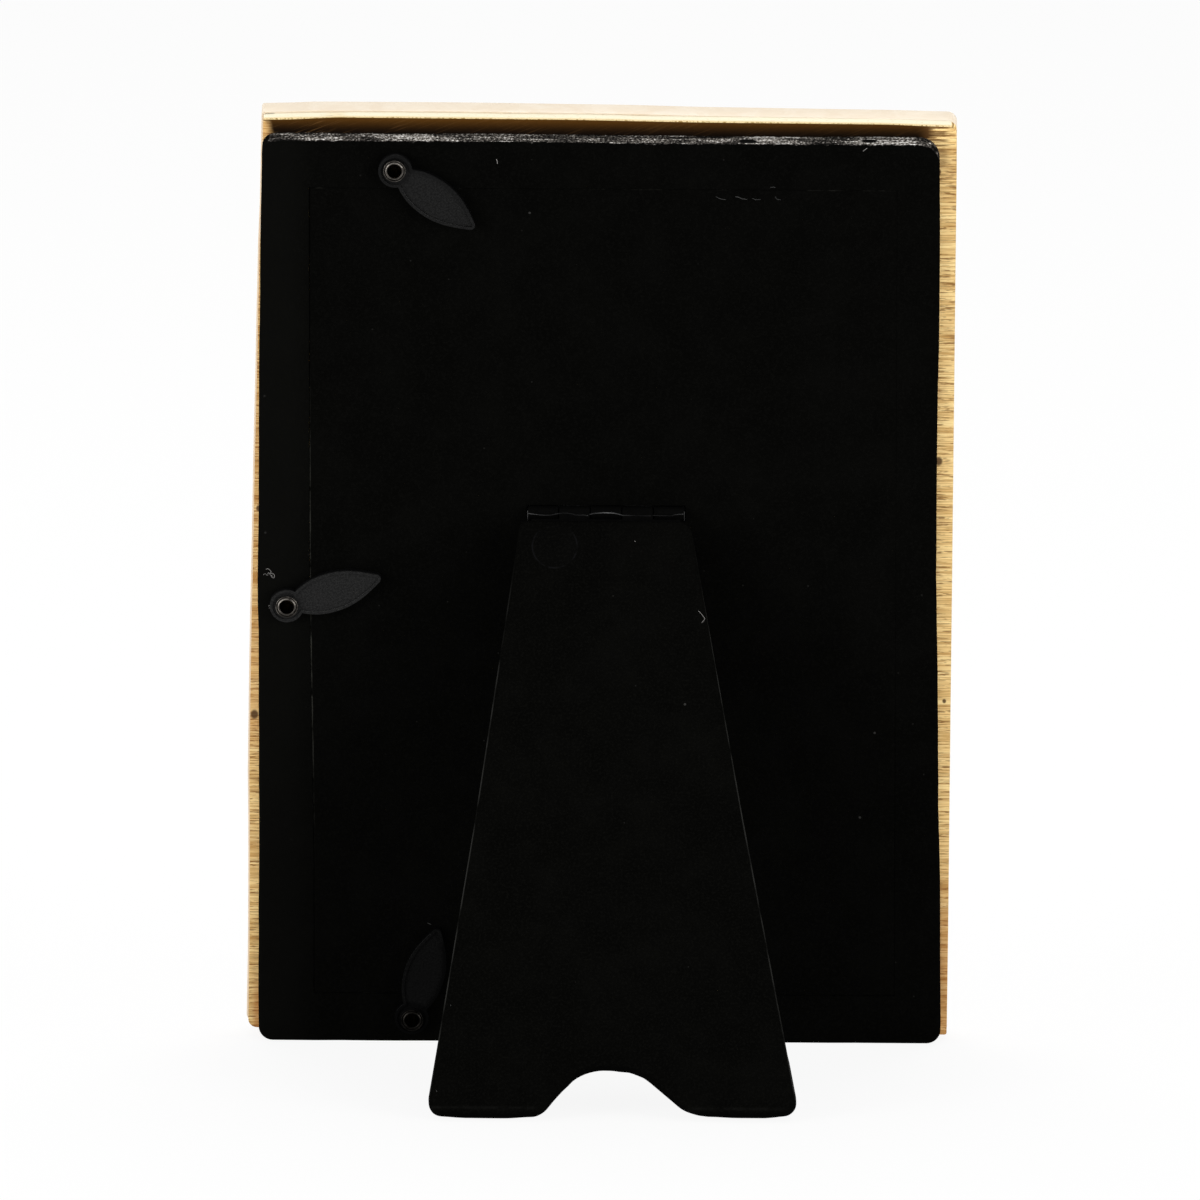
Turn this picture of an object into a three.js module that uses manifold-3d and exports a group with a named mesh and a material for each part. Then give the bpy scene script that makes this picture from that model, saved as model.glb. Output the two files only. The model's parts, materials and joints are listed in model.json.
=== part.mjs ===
// A free-standing picture frame: a wooden body with a cast resin facing, a velvet-covered back board with a
// door, three turn buttons that hold the door shut, and an easel leg on a steel hinge.
// Millimetres, +Z up. The frame leans back and stands on its back board's lower edge and on the leg's foot.
// Its back faces -Y. Every piece is drawn in the back's own plane: x to the right seen from behind, y up the
// back, z out of the back, with z = 0 on the back face of the wood.
import * as THREE from "three";
import { mergeVertices } from "three/addons/utils/BufferGeometryUtils.js";
import Module from "manifold-3d";

const wasm = await Module();
wasm.setup();

// Print and glazing
const printWidth = 101.6;
const printHeight = 152.4;
const printThickness = 0.25;
const printCornerRadius = 0.4;
const glassThickness = 2;
const printClearance = 0.5;
const lipOverlap = 3;

// Wooden body round the print's pocket, glued on slightly crooked: its sides and its ends are this wide.
// Its outline isn't quite square: half the taper comes off its head and goes on its foot, and the head is
// shifted to the right, the foot to the left.
const bodySideWidth = 12.8;
const bodyEndWidth = 12.3;
const bodyDepth = 2.8;
const bodyTaper = 0.9;
const bodyHeadShift = 0.45;
const bodySoftRadius = 1.6;
const bodySharpRadius = 0.4;
const bodyCentreOffset = 0.7;
const bodyRise = 0.45;
const bodySkewDegrees = -0.34;
const pocketDrop = 0.6;
const pocketCornerRadius = 1;

// Cast resin facing, with a rebate for the glass in its back
const resinDepth = 5.8;
const rebateDepth = 2;
const resinProud = 0.2;
const resinShift = -0.15;
const resinEdgeBevel = 0.7;
const windowBevel = 1.4;
const windowCornerRadius = 1.2;

// Back board and its velvet: how far its sides and its head stay inside the body's edges
const backSideMargin = 1.6;
const backHeadMargin = 2.25;
const backCornerRadius = 2.6;
const boardThickness = 4;
const velvetThickness = 0.5;
const velvetEdgeBevel = 0.3;

// Door in the back board, and the width of the board's border round it
const leftBorder = 9.3;
const rightBorder = 8.1;
const footBorder = 9.6;
const headBorder = 9.1;
const doorCornerRadius = 0.5;
const doorSeam = 0.4;
const liningThickness = 0.3;
const liningInset = 3;

// Leg
const legLength = 115.2;
const legOpenDegrees = 35;
const legTopDrop = 2.5;
const legTopWidth = 31.4;
const legFootWidth = 68.4;
const legSideHollow = 0.4;
const legTopRadius = 1.5;
const legFootRadius = 1.9;
const legFootShift = 2.1;
const legBoardThickness = 2.5;
const legStandOff = 0.15;
const archHeight = 9.1;
const archLeft = { foot: 13.1, footRadius: 2.2, top: 5.5, topRadius: 8 };
const archRight = { foot: 13.8, footRadius: 6, top: 3.2, topRadius: 10 };

// Leg hinge
const hingeRise = 104;
const hingeCentreOffset = 1.3;
const hingeLength = 28.8;
const knuckleCount = 5;
const knuckleRadius = 1.3;
const leafThickness = 0.5;
const leafReach = 10;
const leafMargin = 0.7;
const pinRadius = 0.6;
const pinClearance = 0.2;
const rivetRadius = 0.9;
const countersinkRadius = 1.5;
const rivetHeadRadius = 1.7;
const rivetHeadHeight = 0.45;
const rivetSpacing = 17;

// Turn buttons: how far each pivot is in from the back board's left edge and from its head or foot, and
// which way its leaf points
const topButtonInset = 24.8;
const topButtonDrop = 4.7;
const topButtonDegrees = -36.8;
const sideButtonInset = 5;
const sideButtonRise = 86.1;
const sideButtonDegrees = 18.1;
const bottomButtonInset = 28.1;
const bottomButtonRise = 5;
const bottomButtonDegrees = 73.5;
const buttonReach = 18;
const buttonHeadRadius = 3.1;
const buttonNeckWidth = 4.25;
const buttonLeafWidth = 7.4;
const buttonWidestAt = 8.6;
const buttonTipRadius = 0.8;
const buttonTipDegrees = 60;
const buttonShoulderDegrees = 29;
const buttonFullness = 0.38;
const buttonThickness = 1.6;
const buttonRimWidth = 0.5;
const buttonRimHeight = 0.3;
const buttonCollarWidth = 0.55;

// Eyelets that the buttons turn on
const eyeletHoleRadius = 1.2;
const eyeletWall = 0.25;
const eyeletFlangeRadius = 2.05;
const eyeletFlangeThickness = 0.35;
const eyeletClearance = 0.15;

// The gap between pieces that touch, and how far a cutting tool runs past what it cuts
const seatGap = 0.25;
const cutOver = 1;

// How finely round shapes are divided, the least radius of an inset corner, and when two points are one
const roundSides = 24;
const cornerSides = 5;
const smallestRadius = 0.2;
const samePoint = 1e-4;

// Depths, counted out of the wood's back face
const resinBack = -bodyDepth - seatGap;
const resinFront = resinBack - resinDepth;
const lipBack = resinBack - rebateDepth;
const glassFront = lipBack + seatGap;
const printFront = glassFront + glassThickness + seatGap;
const cardFront = printFront + printThickness + seatGap;
const boardFront = seatGap;
const boardBack = boardFront + boardThickness;
const liningFront = boardFront - seatGap - liningThickness;
const cardBack = liningFront - seatGap;
const velvetFront = boardBack + seatGap;
const velvetBack = velvetFront + velvetThickness;
const buttonFront = velvetBack + seatGap;
const buttonBack = buttonFront + buttonThickness;
const flangeFront = buttonBack + seatGap;
const eyeletSeat = boardFront + seatGap + eyeletFlangeThickness;
const hingeDepth = velvetBack;

// Sizes that follow from the ones above
const pocketWidth = printWidth + 2 * printClearance;
const pocketHeight = printHeight + 2 * printClearance;
const windowWidth = printWidth - 2 * lipOverlap;
const windowHeight = printHeight - 2 * lipOverlap;
const bodyWidth = pocketWidth + 2 * bodySideWidth;
const bodyHeight = pocketHeight + 2 * bodyEndWidth;
const bodyCentreHeight = bodyRise + bodyHeight / 2;
const backWidth = bodyWidth - 2 * backSideMargin;
const backHeight = bodyRise + bodyHeight - backHeadMargin;
const backCentreHeight = backHeight / 2;
const doorWidth = backWidth - leftBorder - rightBorder;
const doorHeight = backHeight - footBorder - headBorder;
const doorCentreOffset = (leftBorder - rightBorder) / 2;
const doorCentreHeight = footBorder + doorHeight / 2;
const boardInset = velvetThickness + seatGap;
const eyeletRadius = eyeletHoleRadius + eyeletWall;
const knuckleGap = seatGap;
const knuckleLength = (hingeLength - knuckleGap * (knuckleCount - 1)) / knuckleCount;
const knuckleSweep = knuckleRadius + seatGap;
const leafWidth = hingeLength - 2 * leafMargin;
const legVelvetFront = legStandOff;
const legBoardFront = legVelvetFront + velvetThickness + seatGap;
const legBoardBack = legBoardFront + legBoardThickness;
const legVelvetBack = legBoardBack + seatGap + velvetThickness;
const rivetDistance = knuckleSweep + (leafReach - knuckleSweep) / 2;

const degrees = THREE.MathUtils.degToRad;

const buttonPivots = [
  {
    name: "top",
    x: topButtonInset - backWidth / 2,
    y: backHeight - topButtonDrop,
    turn: topButtonDegrees,
  },
  {
    name: "side",
    x: sideButtonInset - backWidth / 2,
    y: sideButtonRise,
    turn: sideButtonDegrees,
  },
  {
    name: "bottom",
    x: bottomButtonInset - backWidth / 2,
    y: bottomButtonRise,
    turn: bottomButtonDegrees,
  },
];

// A closed geometry as a solid that can be cut and joined.
function solidOf(geometry) {
  const bare = geometry.clone();
  bare.deleteAttribute("normal");
  bare.deleteAttribute("uv");
  const merged = mergeVertices(bare, samePoint);
  const vertProperties = new Float32Array(merged.attributes.position.array);
  const triVerts = new Uint32Array(merged.index.array);
  return new wasm.Manifold(new wasm.Mesh({ numProp: 3, vertProperties, triVerts }));
}

// A solid back as a geometry with flat faces.
function geometryOf(solid) {
  const mesh = solid.getMesh();
  const geometry = new THREE.BufferGeometry();
  geometry.setAttribute("position", new THREE.BufferAttribute(mesh.vertProperties, 3));
  geometry.setIndex(new THREE.BufferAttribute(mesh.triVerts, 1));
  const flat = geometry.toNonIndexed();
  flat.computeVertexNormals();
  return flat;
}

function cut(solid, ...tools) {
  return tools.reduce((left, tool) => left.subtract(tool), solid);
}

function join(...solids) {
  return solids.reduce((whole, solid) => whole.add(solid));
}

// An outline pushed outwards to fill the depths from front to back.
function plate(outline, front, back) {
  const settings = { depth: back - front, bevelEnabled: false, curveSegments: cornerSides };
  const geometry = new THREE.ExtrudeGeometry(outline, settings);
  return solidOf(geometry.translate(0, 0, front));
}

function roundedRectangle(width, height, radius) {
  const x = width / 2;
  const y = height / 2;
  const outline = new THREE.Shape();
  outline.moveTo(-x + radius, -y);
  outline.absarc(x - radius, -y + radius, radius, -Math.PI / 2, 0);
  outline.absarc(x - radius, y - radius, radius, 0, Math.PI / 2);
  outline.absarc(-x + radius, y - radius, radius, Math.PI / 2, Math.PI);
  outline.absarc(-x + radius, -y + radius, radius, Math.PI, 1.5 * Math.PI);
  return outline;
}

// A rounded rectangle centred on x and y, filling the depths from front to back.
function slab({ width, height, radius, x = 0, y = 0, front, back }) {
  return plate(roundedRectangle(width, height, radius), front, back).translate([x, y, 0]);
}

// An outline's points, without a last one that repeats the first.
function openLoop(outline, divisions) {
  const points = outline.getPoints(divisions);
  if (points[0].distanceTo(points[points.length - 1]) < samePoint) points.pop();
  return points;
}

// Outlines of one kind at several depths, joined into one solid that tapers between them.
function taperedSlab(levels) {
  const loops = levels.map(({ outline, depth }) =>
    openLoop(outline, cornerSides).map((point) => [point.x, point.y, depth]));
  const count = loops[0].length;
  const vertices = loops.flat();
  const faces = [];
  for (let level = 0; level + 1 < loops.length; level += 1) {
    for (let i = 0; i < count; i += 1) {
      const a = level * count + i;
      const b = level * count + ((i + 1) % count);
      faces.push(a, b, b + count, a, b + count, a + count);
    }
  }
  const last = (loops.length - 1) * count;
  for (let i = 1; i + 1 < count; i += 1) {
    faces.push(0, i + 1, i);
    faces.push(last, last + i, last + i + 1);
  }
  const geometry = new THREE.BufferGeometry();
  geometry.setAttribute("position", new THREE.Float32BufferAttribute(vertices.flat(), 3));
  geometry.setIndex(faces);
  return solidOf(geometry);
}

// A round piece about an axis along the depth, from the radius and depth at each corner of its section,
// given so that its outside runs from front to back.
function turned(section, x = 0, y = 0) {
  const profile = section.map(([radius, depth]) => new THREE.Vector2(radius, depth));
  return new THREE.LatheGeometry(profile, roundSides).rotateX(Math.PI / 2).translate(x, y, 0);
}

// A round bar along the depth, centred on x and y.
function post(radius, x, y, front, back) {
  const geometry = new THREE.CylinderGeometry(radius, radius, back - front, roundSides);
  geometry.rotateX(Math.PI / 2);
  geometry.translate(x, y, (front + back) / 2);
  return solidOf(geometry);
}

// A round bar across the hinge, centred on its axis.
function crossBar(radius, from, to) {
  const geometry = new THREE.CylinderGeometry(radius, radius, to - from, roundSides);
  geometry.rotateZ(Math.PI / 2);
  geometry.translate((from + to) / 2, 0, 0);
  return solidOf(geometry);
}

function block(x0, x1, y0, y1, z0, z1) {
  const geometry = new THREE.BoxGeometry(x1 - x0, y1 - y0, z1 - z0);
  return solidOf(geometry.translate((x0 + x1) / 2, (y0 + y1) / 2, (z0 + z1) / 2));
}

// A polygon with rounded corners, given anticlockwise, its whole outline moved inwards by inset.
function roundedPolygon(corners, inset = 0) {
  const count = corners.length;
  const points = corners.map(({ x, y }) => new THREE.Vector2(x, y));
  const normals = points.map((point, i) => {
    const onward = points[(i + 1) % count].clone().sub(point).normalize();
    return new THREE.Vector2(-onward.y, onward.x);
  });
  const outline = new THREE.Shape();
  points.forEach((point, i) => {
    const before = normals[(i + count - 1) % count];
    const after = normals[i];
    const bisector = before.clone().add(after).divideScalar(1 + before.dot(after));
    const convex = before.cross(after) > 0;
    const { radius } = corners[i];
    const start = convex ? before.clone().negate() : before;
    const end = convex ? after.clone().negate() : after;
    if (radius === 0) {
      const moved = bisector.multiplyScalar(inset).add(point);
      if (i === 0) outline.moveTo(moved.x, moved.y);
      else outline.lineTo(moved.x, moved.y);
      return;
    }
    const reach = convex ? Math.max(radius, inset + smallestRadius) : -radius;
    const centre = bisector.multiplyScalar(reach).add(point);
    const arcRadius = convex ? reach - inset : radius + inset;
    outline.absarc(centre.x, centre.y, arcRadius, start.angle(), end.angle(), !convex);
  });
  return outline;
}

// A closed loop of points moved inwards, square to its edges.
function insetLoop(points, distance) {
  const count = points.length;
  return points.map((point, i) => {
    const before = points[(i + count - 1) % count];
    const after = points[(i + 1) % count];
    const inward = point.clone().sub(before).normalize();
    const onward = after.clone().sub(point).normalize();
    const bisector = inward.clone().add(onward).normalize();
    const stretch = 1 / Math.max(bisector.dot(onward), 0.5);
    return new THREE.Vector2(-bisector.y, bisector.x).multiplyScalar(distance * stretch).add(point);
  });
}

function addPiece(group, name, shape, finish) {
  const geometry = shape instanceof THREE.BufferGeometry ? shape : geometryOf(shape);
  const mesh = new THREE.Mesh(geometry, new THREE.MeshStandardMaterial(finish));
  mesh.name = name;
  group.add(mesh);
  return mesh;
}

const resinFinish = { color: 0xeadfca, roughness: 0.25, metalness: 0 };
const woodFinish = { color: 0xcdaa76, roughness: 0.6, metalness: 0 };
const glassFinish = { color: 0xdfeae6, roughness: 0.03, metalness: 0, transparent: true, opacity: 0.35 };
const paperFinish = { color: 0xd9d6ce, roughness: 0.7, metalness: 0 };
const cardFinish = { color: 0x8d877b, roughness: 0.9, metalness: 0 };
const fibreboardFinish = { color: 0x6b4e33, roughness: 0.85, metalness: 0 };
const velvetFinish = { color: 0x0b0b0a, roughness: 1, metalness: 0 };
const liningFinish = { color: 0x1c1b1a, roughness: 0.9, metalness: 0 };
const buttonFinish = { color: 0x242425, roughness: 0.45, metalness: 0 };
const eyeletFinish = { color: 0x8a857c, roughness: 0.3, metalness: 1 };
const hingeFinish = { color: 0x2b2b2b, roughness: 0.4, metalness: 0.8 };
const rivetFinish = { color: 0x9a9791, roughness: 0.35, metalness: 1 };

// The body's outline about its own centre, moved inwards by inset.
function bodyOutline(inset) {
  const foot = (bodyWidth + bodyTaper) / 2;
  const head = (bodyWidth - bodyTaper) / 2;
  const end = bodyHeight / 2;
  const shift = bodyHeadShift;
  return roundedPolygon([
    { x: -foot - shift, y: -end, radius: bodySoftRadius },
    { x: foot - shift, y: -end, radius: bodySharpRadius },
    { x: head + shift, y: end, radius: bodySoftRadius },
    { x: -head + shift, y: end, radius: bodySharpRadius },
  ], inset);
}

// The pocket for the glass, the print and the card.
function pocket(front, back) {
  return slab({
    width: pocketWidth,
    height: pocketHeight,
    radius: pocketCornerRadius,
    y: -pocketDrop,
    front,
    back,
  });
}

function windowOutline(flare) {
  return roundedRectangle(windowWidth + 2 * flare, windowHeight + 2 * flare, windowCornerRadius + flare);
}

// The facing: bevelled round its front edge, with a window that widens towards the front.
function resinFace() {
  const full = bodyOutline(-resinProud);
  const facing = taperedSlab([
    { outline: bodyOutline(resinEdgeBevel - resinProud), depth: resinFront },
    { outline: full, depth: resinFront + resinEdgeBevel },
    { outline: full, depth: resinBack },
  ]).translate([resinShift, 0, 0]);
  const sloped = resinDepth - rebateDepth - windowBevel;
  const flare = windowBevel * (sloped + cutOver) / sloped;
  const opening = taperedSlab([
    { outline: windowOutline(flare), depth: resinFront - cutOver },
    { outline: windowOutline(0), depth: lipBack - windowBevel },
    { outline: windowOutline(0), depth: lipBack + cutOver },
  ]);
  return cut(facing, opening, pocket(lipBack, resinBack + cutOver));
}

// The wooden ring, which the pocket goes through.
function woodBody() {
  return plate(bodyOutline(0), -bodyDepth, 0).subtract(pocket(-bodyDepth - cutOver, cutOver));
}

// A sheet of the print's size, at the given depths in the pocket.
function insert(front, back) {
  return slab({
    width: printWidth,
    height: printHeight,
    radius: printCornerRadius,
    y: -pocketDrop,
    front,
    back,
  });
}

function doorOpening(front, back) {
  return slab({
    width: doorWidth + 2 * doorSeam,
    height: doorHeight + 2 * doorSeam,
    radius: doorCornerRadius + doorSeam,
    x: doorCentreOffset,
    y: doorCentreHeight,
    front,
    back,
  });
}

function doorSlab(front, back) {
  return slab({
    width: doorWidth,
    height: doorHeight,
    radius: doorCornerRadius,
    x: doorCentreOffset,
    y: doorCentreHeight,
    front,
    back,
  });
}

function eyeletHoles(radius, front, back) {
  return buttonPivots.map(({ x, y }) => post(radius, x, y, front, back));
}

// The back board's ring, bored for the eyelets and sunk round their rolled ends.
function surroundBoard() {
  const ring = slab({
    width: backWidth - 2 * boardInset,
    height: backHeight - 2 * boardInset,
    radius: backCornerRadius - boardInset,
    y: backCentreHeight,
    front: boardFront,
    back: boardBack,
  });
  return cut(
    ring,
    doorOpening(boardFront - cutOver, boardBack + cutOver),
    ...eyeletHoles(eyeletRadius + seatGap, boardFront - cutOver, boardBack + cutOver),
    ...eyeletHoles(eyeletFlangeRadius + seatGap, boardFront - cutOver, eyeletSeat + seatGap),
  );
}

// The velvet over that ring and down its outer edges.
function surroundVelvet() {
  const outline = (inset) =>
    roundedRectangle(backWidth - 2 * inset, backHeight - 2 * inset, backCornerRadius - inset);
  const cover = taperedSlab([
    { outline: outline(0), depth: boardFront },
    { outline: outline(0), depth: velvetBack - velvetEdgeBevel },
    { outline: outline(velvetEdgeBevel), depth: velvetBack },
  ]).translate([0, backCentreHeight, 0]);
  const inside = slab({
    width: backWidth - 2 * velvetThickness,
    height: backHeight - 2 * velvetThickness,
    radius: backCornerRadius - velvetThickness,
    y: backCentreHeight,
    front: boardFront - cutOver,
    back: velvetFront,
  });
  return cut(
    cover,
    inside,
    doorOpening(velvetFront - cutOver, velvetBack + cutOver),
    ...eyeletHoles(eyeletRadius + seatGap, velvetFront - cutOver, velvetBack + cutOver),
  );
}

// The slot round the hinge's barrel, through the velvet and into the door.
function hingeSlot() {
  const half = hingeLength / 2 + seatGap;
  const middle = hingeCentreOffset;
  return block(
    middle - half,
    middle + half,
    hingeRise - knuckleSweep,
    hingeRise + knuckleSweep,
    hingeDepth - knuckleSweep,
    velvetBack + cutOver,
  );
}

function doorBoard() {
  const leafHalf = leafWidth / 2 + seatGap;
  const leafSeat = block(
    hingeCentreOffset - leafHalf,
    hingeCentreOffset + leafHalf,
    hingeRise,
    hingeRise + leafReach + seatGap,
    hingeDepth - knuckleSweep,
    boardBack + cutOver,
  );
  const holes = boardRivetHoles(hingeCentreOffset, hingeRise + rivetDistance, -1, boardFront);
  return cut(doorSlab(boardFront, boardBack), hingeSlot(), leafSeat, ...holes);
}

function doorVelvet() {
  return doorSlab(velvetFront, velvetBack).subtract(hingeSlot());
}

function doorLining() {
  return slab({
    width: pocketWidth - 2 * liningInset,
    height: pocketHeight - 2 * liningInset,
    radius: pocketCornerRadius,
    x: bodyCentreOffset,
    y: bodyCentreHeight - pocketDrop,
    front: liningFront,
    back: liningFront + liningThickness,
  });
}

// One leaf of the hinge about the axis: rolled knuckles, and a plate that leaves them at the given depth.
// first is the first knuckle's number and up is 1 for a leaf that runs upwards, -1 for one that runs down.
function hingeLeaf(first, up, plateFront) {
  const plateBack = plateFront + leafThickness;
  const half = leafWidth / 2;
  const far = up * leafReach;
  let leaf = block(-half, half, Math.min(0, far), Math.max(0, far), plateFront, plateBack);
  const bore = pinRadius + pinClearance;
  for (let i = 0; i < knuckleCount; i += 1) {
    const from = -hingeLength / 2 + i * (knuckleLength + knuckleGap);
    const to = from + knuckleLength;
    if (i % 2 === first) {
      leaf = leaf.add(crossBar(knuckleRadius, from, to));
    } else {
      const room = knuckleSweep;
      const clear = block(from - knuckleGap, to + knuckleGap, -room, room, -room, room);
      leaf = leaf.subtract(clear);
    }
  }
  return leaf.subtract(crossBar(bore, -hingeLength, hingeLength));
}

function rivetPlaces() {
  return [
    { side: "left", x: -rivetSpacing / 2 },
    { side: "right", x: rivetSpacing / 2 },
  ];
}

// A round piece that runs inwards from one depth: inward is 1 where that is towards the back, or -1.
function turnedInward(section, inward, x, y) {
  return turned(inward > 0 ? section : section.reverse(), x, y);
}

// Countersunk holes through a leaf. flush is the face that the rivets' heads are level with.
function leafHoles(y, flush, inward) {
  const near = flush - inward * cutOver;
  const far = flush + inward * leafThickness;
  const wide = countersinkRadius + seatGap;
  const narrow = rivetRadius + seatGap;
  const section = () => [
    [0, near],
    [wide, near],
    [wide, flush],
    [narrow, far],
    [narrow, far + inward * cutOver],
    [0, far + inward * cutOver],
  ];
  return rivetPlaces().map(({ x }) => solidOf(turnedInward(section(), inward, x, y)));
}

// A rivet with a countersunk head level with the leaf and a flat head sunk in the board's far face, at seat.
function rivet(x, y, flush, inward, seat) {
  const head = seat - inward * rivetHeadHeight;
  const section = [
    [0, flush],
    [countersinkRadius, flush],
    [rivetRadius, flush + inward * leafThickness],
    [rivetRadius, head],
    [rivetHeadRadius, head],
    [rivetHeadRadius, seat],
    [0, seat],
  ];
  return turnedInward(section, inward, x, y);
}

// The holes that those rivets need in the board.
function boardRivetHoles(centre, y, inward, seat) {
  const sink = seat - inward * (rivetHeadHeight + seatGap);
  const near = sink - inward * boardThickness;
  const far = seat + inward * cutOver;
  const section = () => [
    [0, near],
    [rivetRadius + seatGap, near],
    [rivetRadius + seatGap, sink],
    [rivetHeadRadius + seatGap, sink],
    [rivetHeadRadius + seatGap, far],
    [0, far],
  ];
  return rivetPlaces().map(({ x }) => solidOf(turnedInward(section(), inward, centre + x, y)));
}

// The leg's outline about the hinge's axis, with its y counted down from the axis, moved inwards by inset.
function legOutline(inset) {
  const top = -legTopDrop;
  const foot = -legLength;
  const topHalf = legTopWidth / 2;
  const footHalf = legFootWidth / 2;
  const sideHalf = (topHalf + footHalf) / 2 - legSideHollow;
  const half = (arch) => [
    { x: arch.top, y: foot + archHeight, radius: arch.topRadius },
    { x: arch.foot, y: foot, radius: arch.footRadius },
    { x: footHalf, y: foot, radius: legFootRadius },
    { x: sideHalf, y: (top + foot) / 2, radius: 0, shift: legFootShift / 2 },
    { x: topHalf, y: top, radius: legTopRadius, shift: 0 },
  ];
  const left = half(archLeft).map((corner) => ({ ...corner, x: -corner.x })).reverse();
  const corners = [...half(archRight), ...left].map(({ x, y, radius, shift = legFootShift }) =>
    ({ x: x + shift, y, radius }));
  return roundedPolygon(corners, inset);
}

function legPlate(inset, front, back) {
  return plate(legOutline(inset), front, back);
}

function legBoard() {
  const leafHalf = leafWidth / 2 + seatGap;
  const leafSeat = block(
    -leafHalf,
    leafHalf,
    -leafReach - seatGap,
    cutOver,
    legBoardFront - cutOver,
    knuckleSweep,
  );
  const holes = boardRivetHoles(0, -rivetDistance, 1, legBoardBack);
  return cut(legPlate(boardInset, legBoardFront, legBoardBack), leafSeat, ...holes);
}

// The velvet sleeve round the leg, open at its top where the hinge leaf comes out.
function legVelvet() {
  const sleeve = legPlate(0, legVelvetFront, legVelvetBack);
  const inside = legPlate(velvetThickness, legVelvetFront + velvetThickness, legVelvetBack - velvetThickness);
  const mouthHalf = legTopWidth / 2 - legTopRadius;
  const mouth = block(
    -mouthHalf,
    mouthHalf,
    -legTopDrop - legTopRadius - velvetThickness,
    cutOver,
    legVelvetFront + velvetThickness,
    legVelvetBack - velvetThickness,
  );
  return cut(sleeve, inside, mouth);
}

// A turn button's outline about its pivot, with the leaf along +x: its upper half, from the tip round to the
// far side of the head, and the same points mirrored. The fullness is how far the curves carry on straight.
function buttonOutline() {
  const head = buttonHeadRadius;
  const leaf = buttonLeafWidth / 2;
  const tipCentre = buttonReach - buttonTipRadius;
  const tipTurn = degrees(buttonTipDegrees);
  const tipX = tipCentre + buttonTipRadius * Math.cos(tipTurn);
  const tipY = buttonTipRadius * Math.sin(tipTurn);
  const neckY = buttonNeckWidth / 2;
  const neckTurn = Math.asin(neckY / head);
  const neckX = head * Math.cos(neckTurn);
  const shoulderTurn = degrees(buttonShoulderDegrees);
  const outward = buttonFullness * (tipX - buttonWidestAt);
  const inward = buttonFullness * (buttonWidestAt - neckX);
  const outline = new THREE.Shape();
  outline.moveTo(buttonReach, 0);
  outline.absarc(tipCentre, 0, buttonTipRadius, 0, tipTurn);
  outline.bezierCurveTo(
    tipX - outward * Math.sin(tipTurn),
    tipY + outward * Math.cos(tipTurn),
    buttonWidestAt + outward,
    leaf,
    buttonWidestAt,
    leaf,
  );
  outline.bezierCurveTo(
    buttonWidestAt - inward,
    leaf,
    neckX + inward * Math.cos(shoulderTurn),
    neckY + inward * Math.sin(shoulderTurn),
    neckX,
    neckY,
  );
  outline.absarc(0, 0, head, neckTurn, Math.PI);
  const upper = openLoop(outline, 2 * cornerSides);
  const lower = upper.slice(1, -1).reverse().map(({ x, y }) => new THREE.Vector2(x, -y));
  return [...upper, ...lower];
}

// The button: a thin rim stands round a sunk, leaf-shaped face, and a collar round its bore.
function turnButton() {
  const loop = buttonOutline();
  const sunk = insetLoop(loop, buttonRimWidth);
  const face = buttonThickness - buttonRimHeight;
  const pocket = plate(new THREE.Shape(sunk), face, buttonThickness + cutOver);
  const bore = eyeletRadius + eyeletClearance;
  const collar = post(bore + buttonCollarWidth, 0, 0, 0, buttonThickness);
  return join(plate(new THREE.Shape(loop), 0, buttonThickness).subtract(pocket), collar)
    .subtract(post(bore, 0, 0, -cutOver, buttonThickness + cutOver));
}

// A hollow eyelet: a barrel through button, velvet and board, with a rolled flange at each end.
function eyelet() {
  const low = eyeletSeat - eyeletFlangeThickness;
  const high = flangeFront + eyeletFlangeThickness;
  const roll = eyeletFlangeThickness / 2;
  return turned([
    [eyeletHoleRadius, low],
    [eyeletFlangeRadius, low],
    [eyeletFlangeRadius, eyeletSeat],
    [eyeletRadius, eyeletSeat],
    [eyeletRadius, flangeFront],
    [eyeletFlangeRadius, flangeFront],
    [eyeletFlangeRadius, high - roll],
    [eyeletFlangeRadius - roll, high],
    [eyeletHoleRadius + roll, high],
    [eyeletHoleRadius, high - roll],
    [eyeletHoleRadius, low],
  ]);
}

// The lean that puts both the back board's lower edge and the leg's foot on the ground.
function leanAngle() {
  const open = degrees(legOpenDegrees);
  const footRise = hingeRise - legLength * Math.cos(open) + legVelvetFront * Math.sin(open);
  const footDepth = hingeDepth + legLength * Math.sin(open) + legVelvetFront * Math.cos(open);
  return Math.atan2(footRise, footDepth - (velvetBack - velvetEdgeBevel));
}

function buildBody(back) {
  const body = new THREE.Group();
  body.position.set(bodyCentreOffset, bodyCentreHeight, 0);
  body.rotation.z = degrees(bodySkewDegrees);
  back.add(body);
  addPiece(body, "resin_face", resinFace(), resinFinish);
  addPiece(body, "wood_body", woodBody(), woodFinish);
  addPiece(body, "glass_pane", insert(glassFront, glassFront + glassThickness), glassFinish);
  addPiece(body, "photo_print", insert(printFront, printFront + printThickness), paperFinish);
  addPiece(body, "backing_card", insert(cardFront, cardBack), cardFinish);
}

function buildBack(back) {
  addPiece(back, "surround_board", surroundBoard(), fibreboardFinish);
  addPiece(back, "surround_velvet", surroundVelvet(), velvetFinish);
  addPiece(back, "door_board", doorBoard(), fibreboardFinish);
  addPiece(back, "door_velvet", doorVelvet(), velvetFinish);
  addPiece(back, "door_lining", doorLining(), liningFinish);
}

function buildButtons(back) {
  for (const { name, x, y, turn } of buttonPivots) {
    const button = addPiece(back, `turn_button_${name}`, turnButton(), buttonFinish);
    button.position.set(x, y, buttonFront);
    button.rotation.z = degrees(turn);
    addPiece(back, `eyelet_${name}`, eyelet(), eyeletFinish).position.set(x, y, 0);
  }
}

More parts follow.
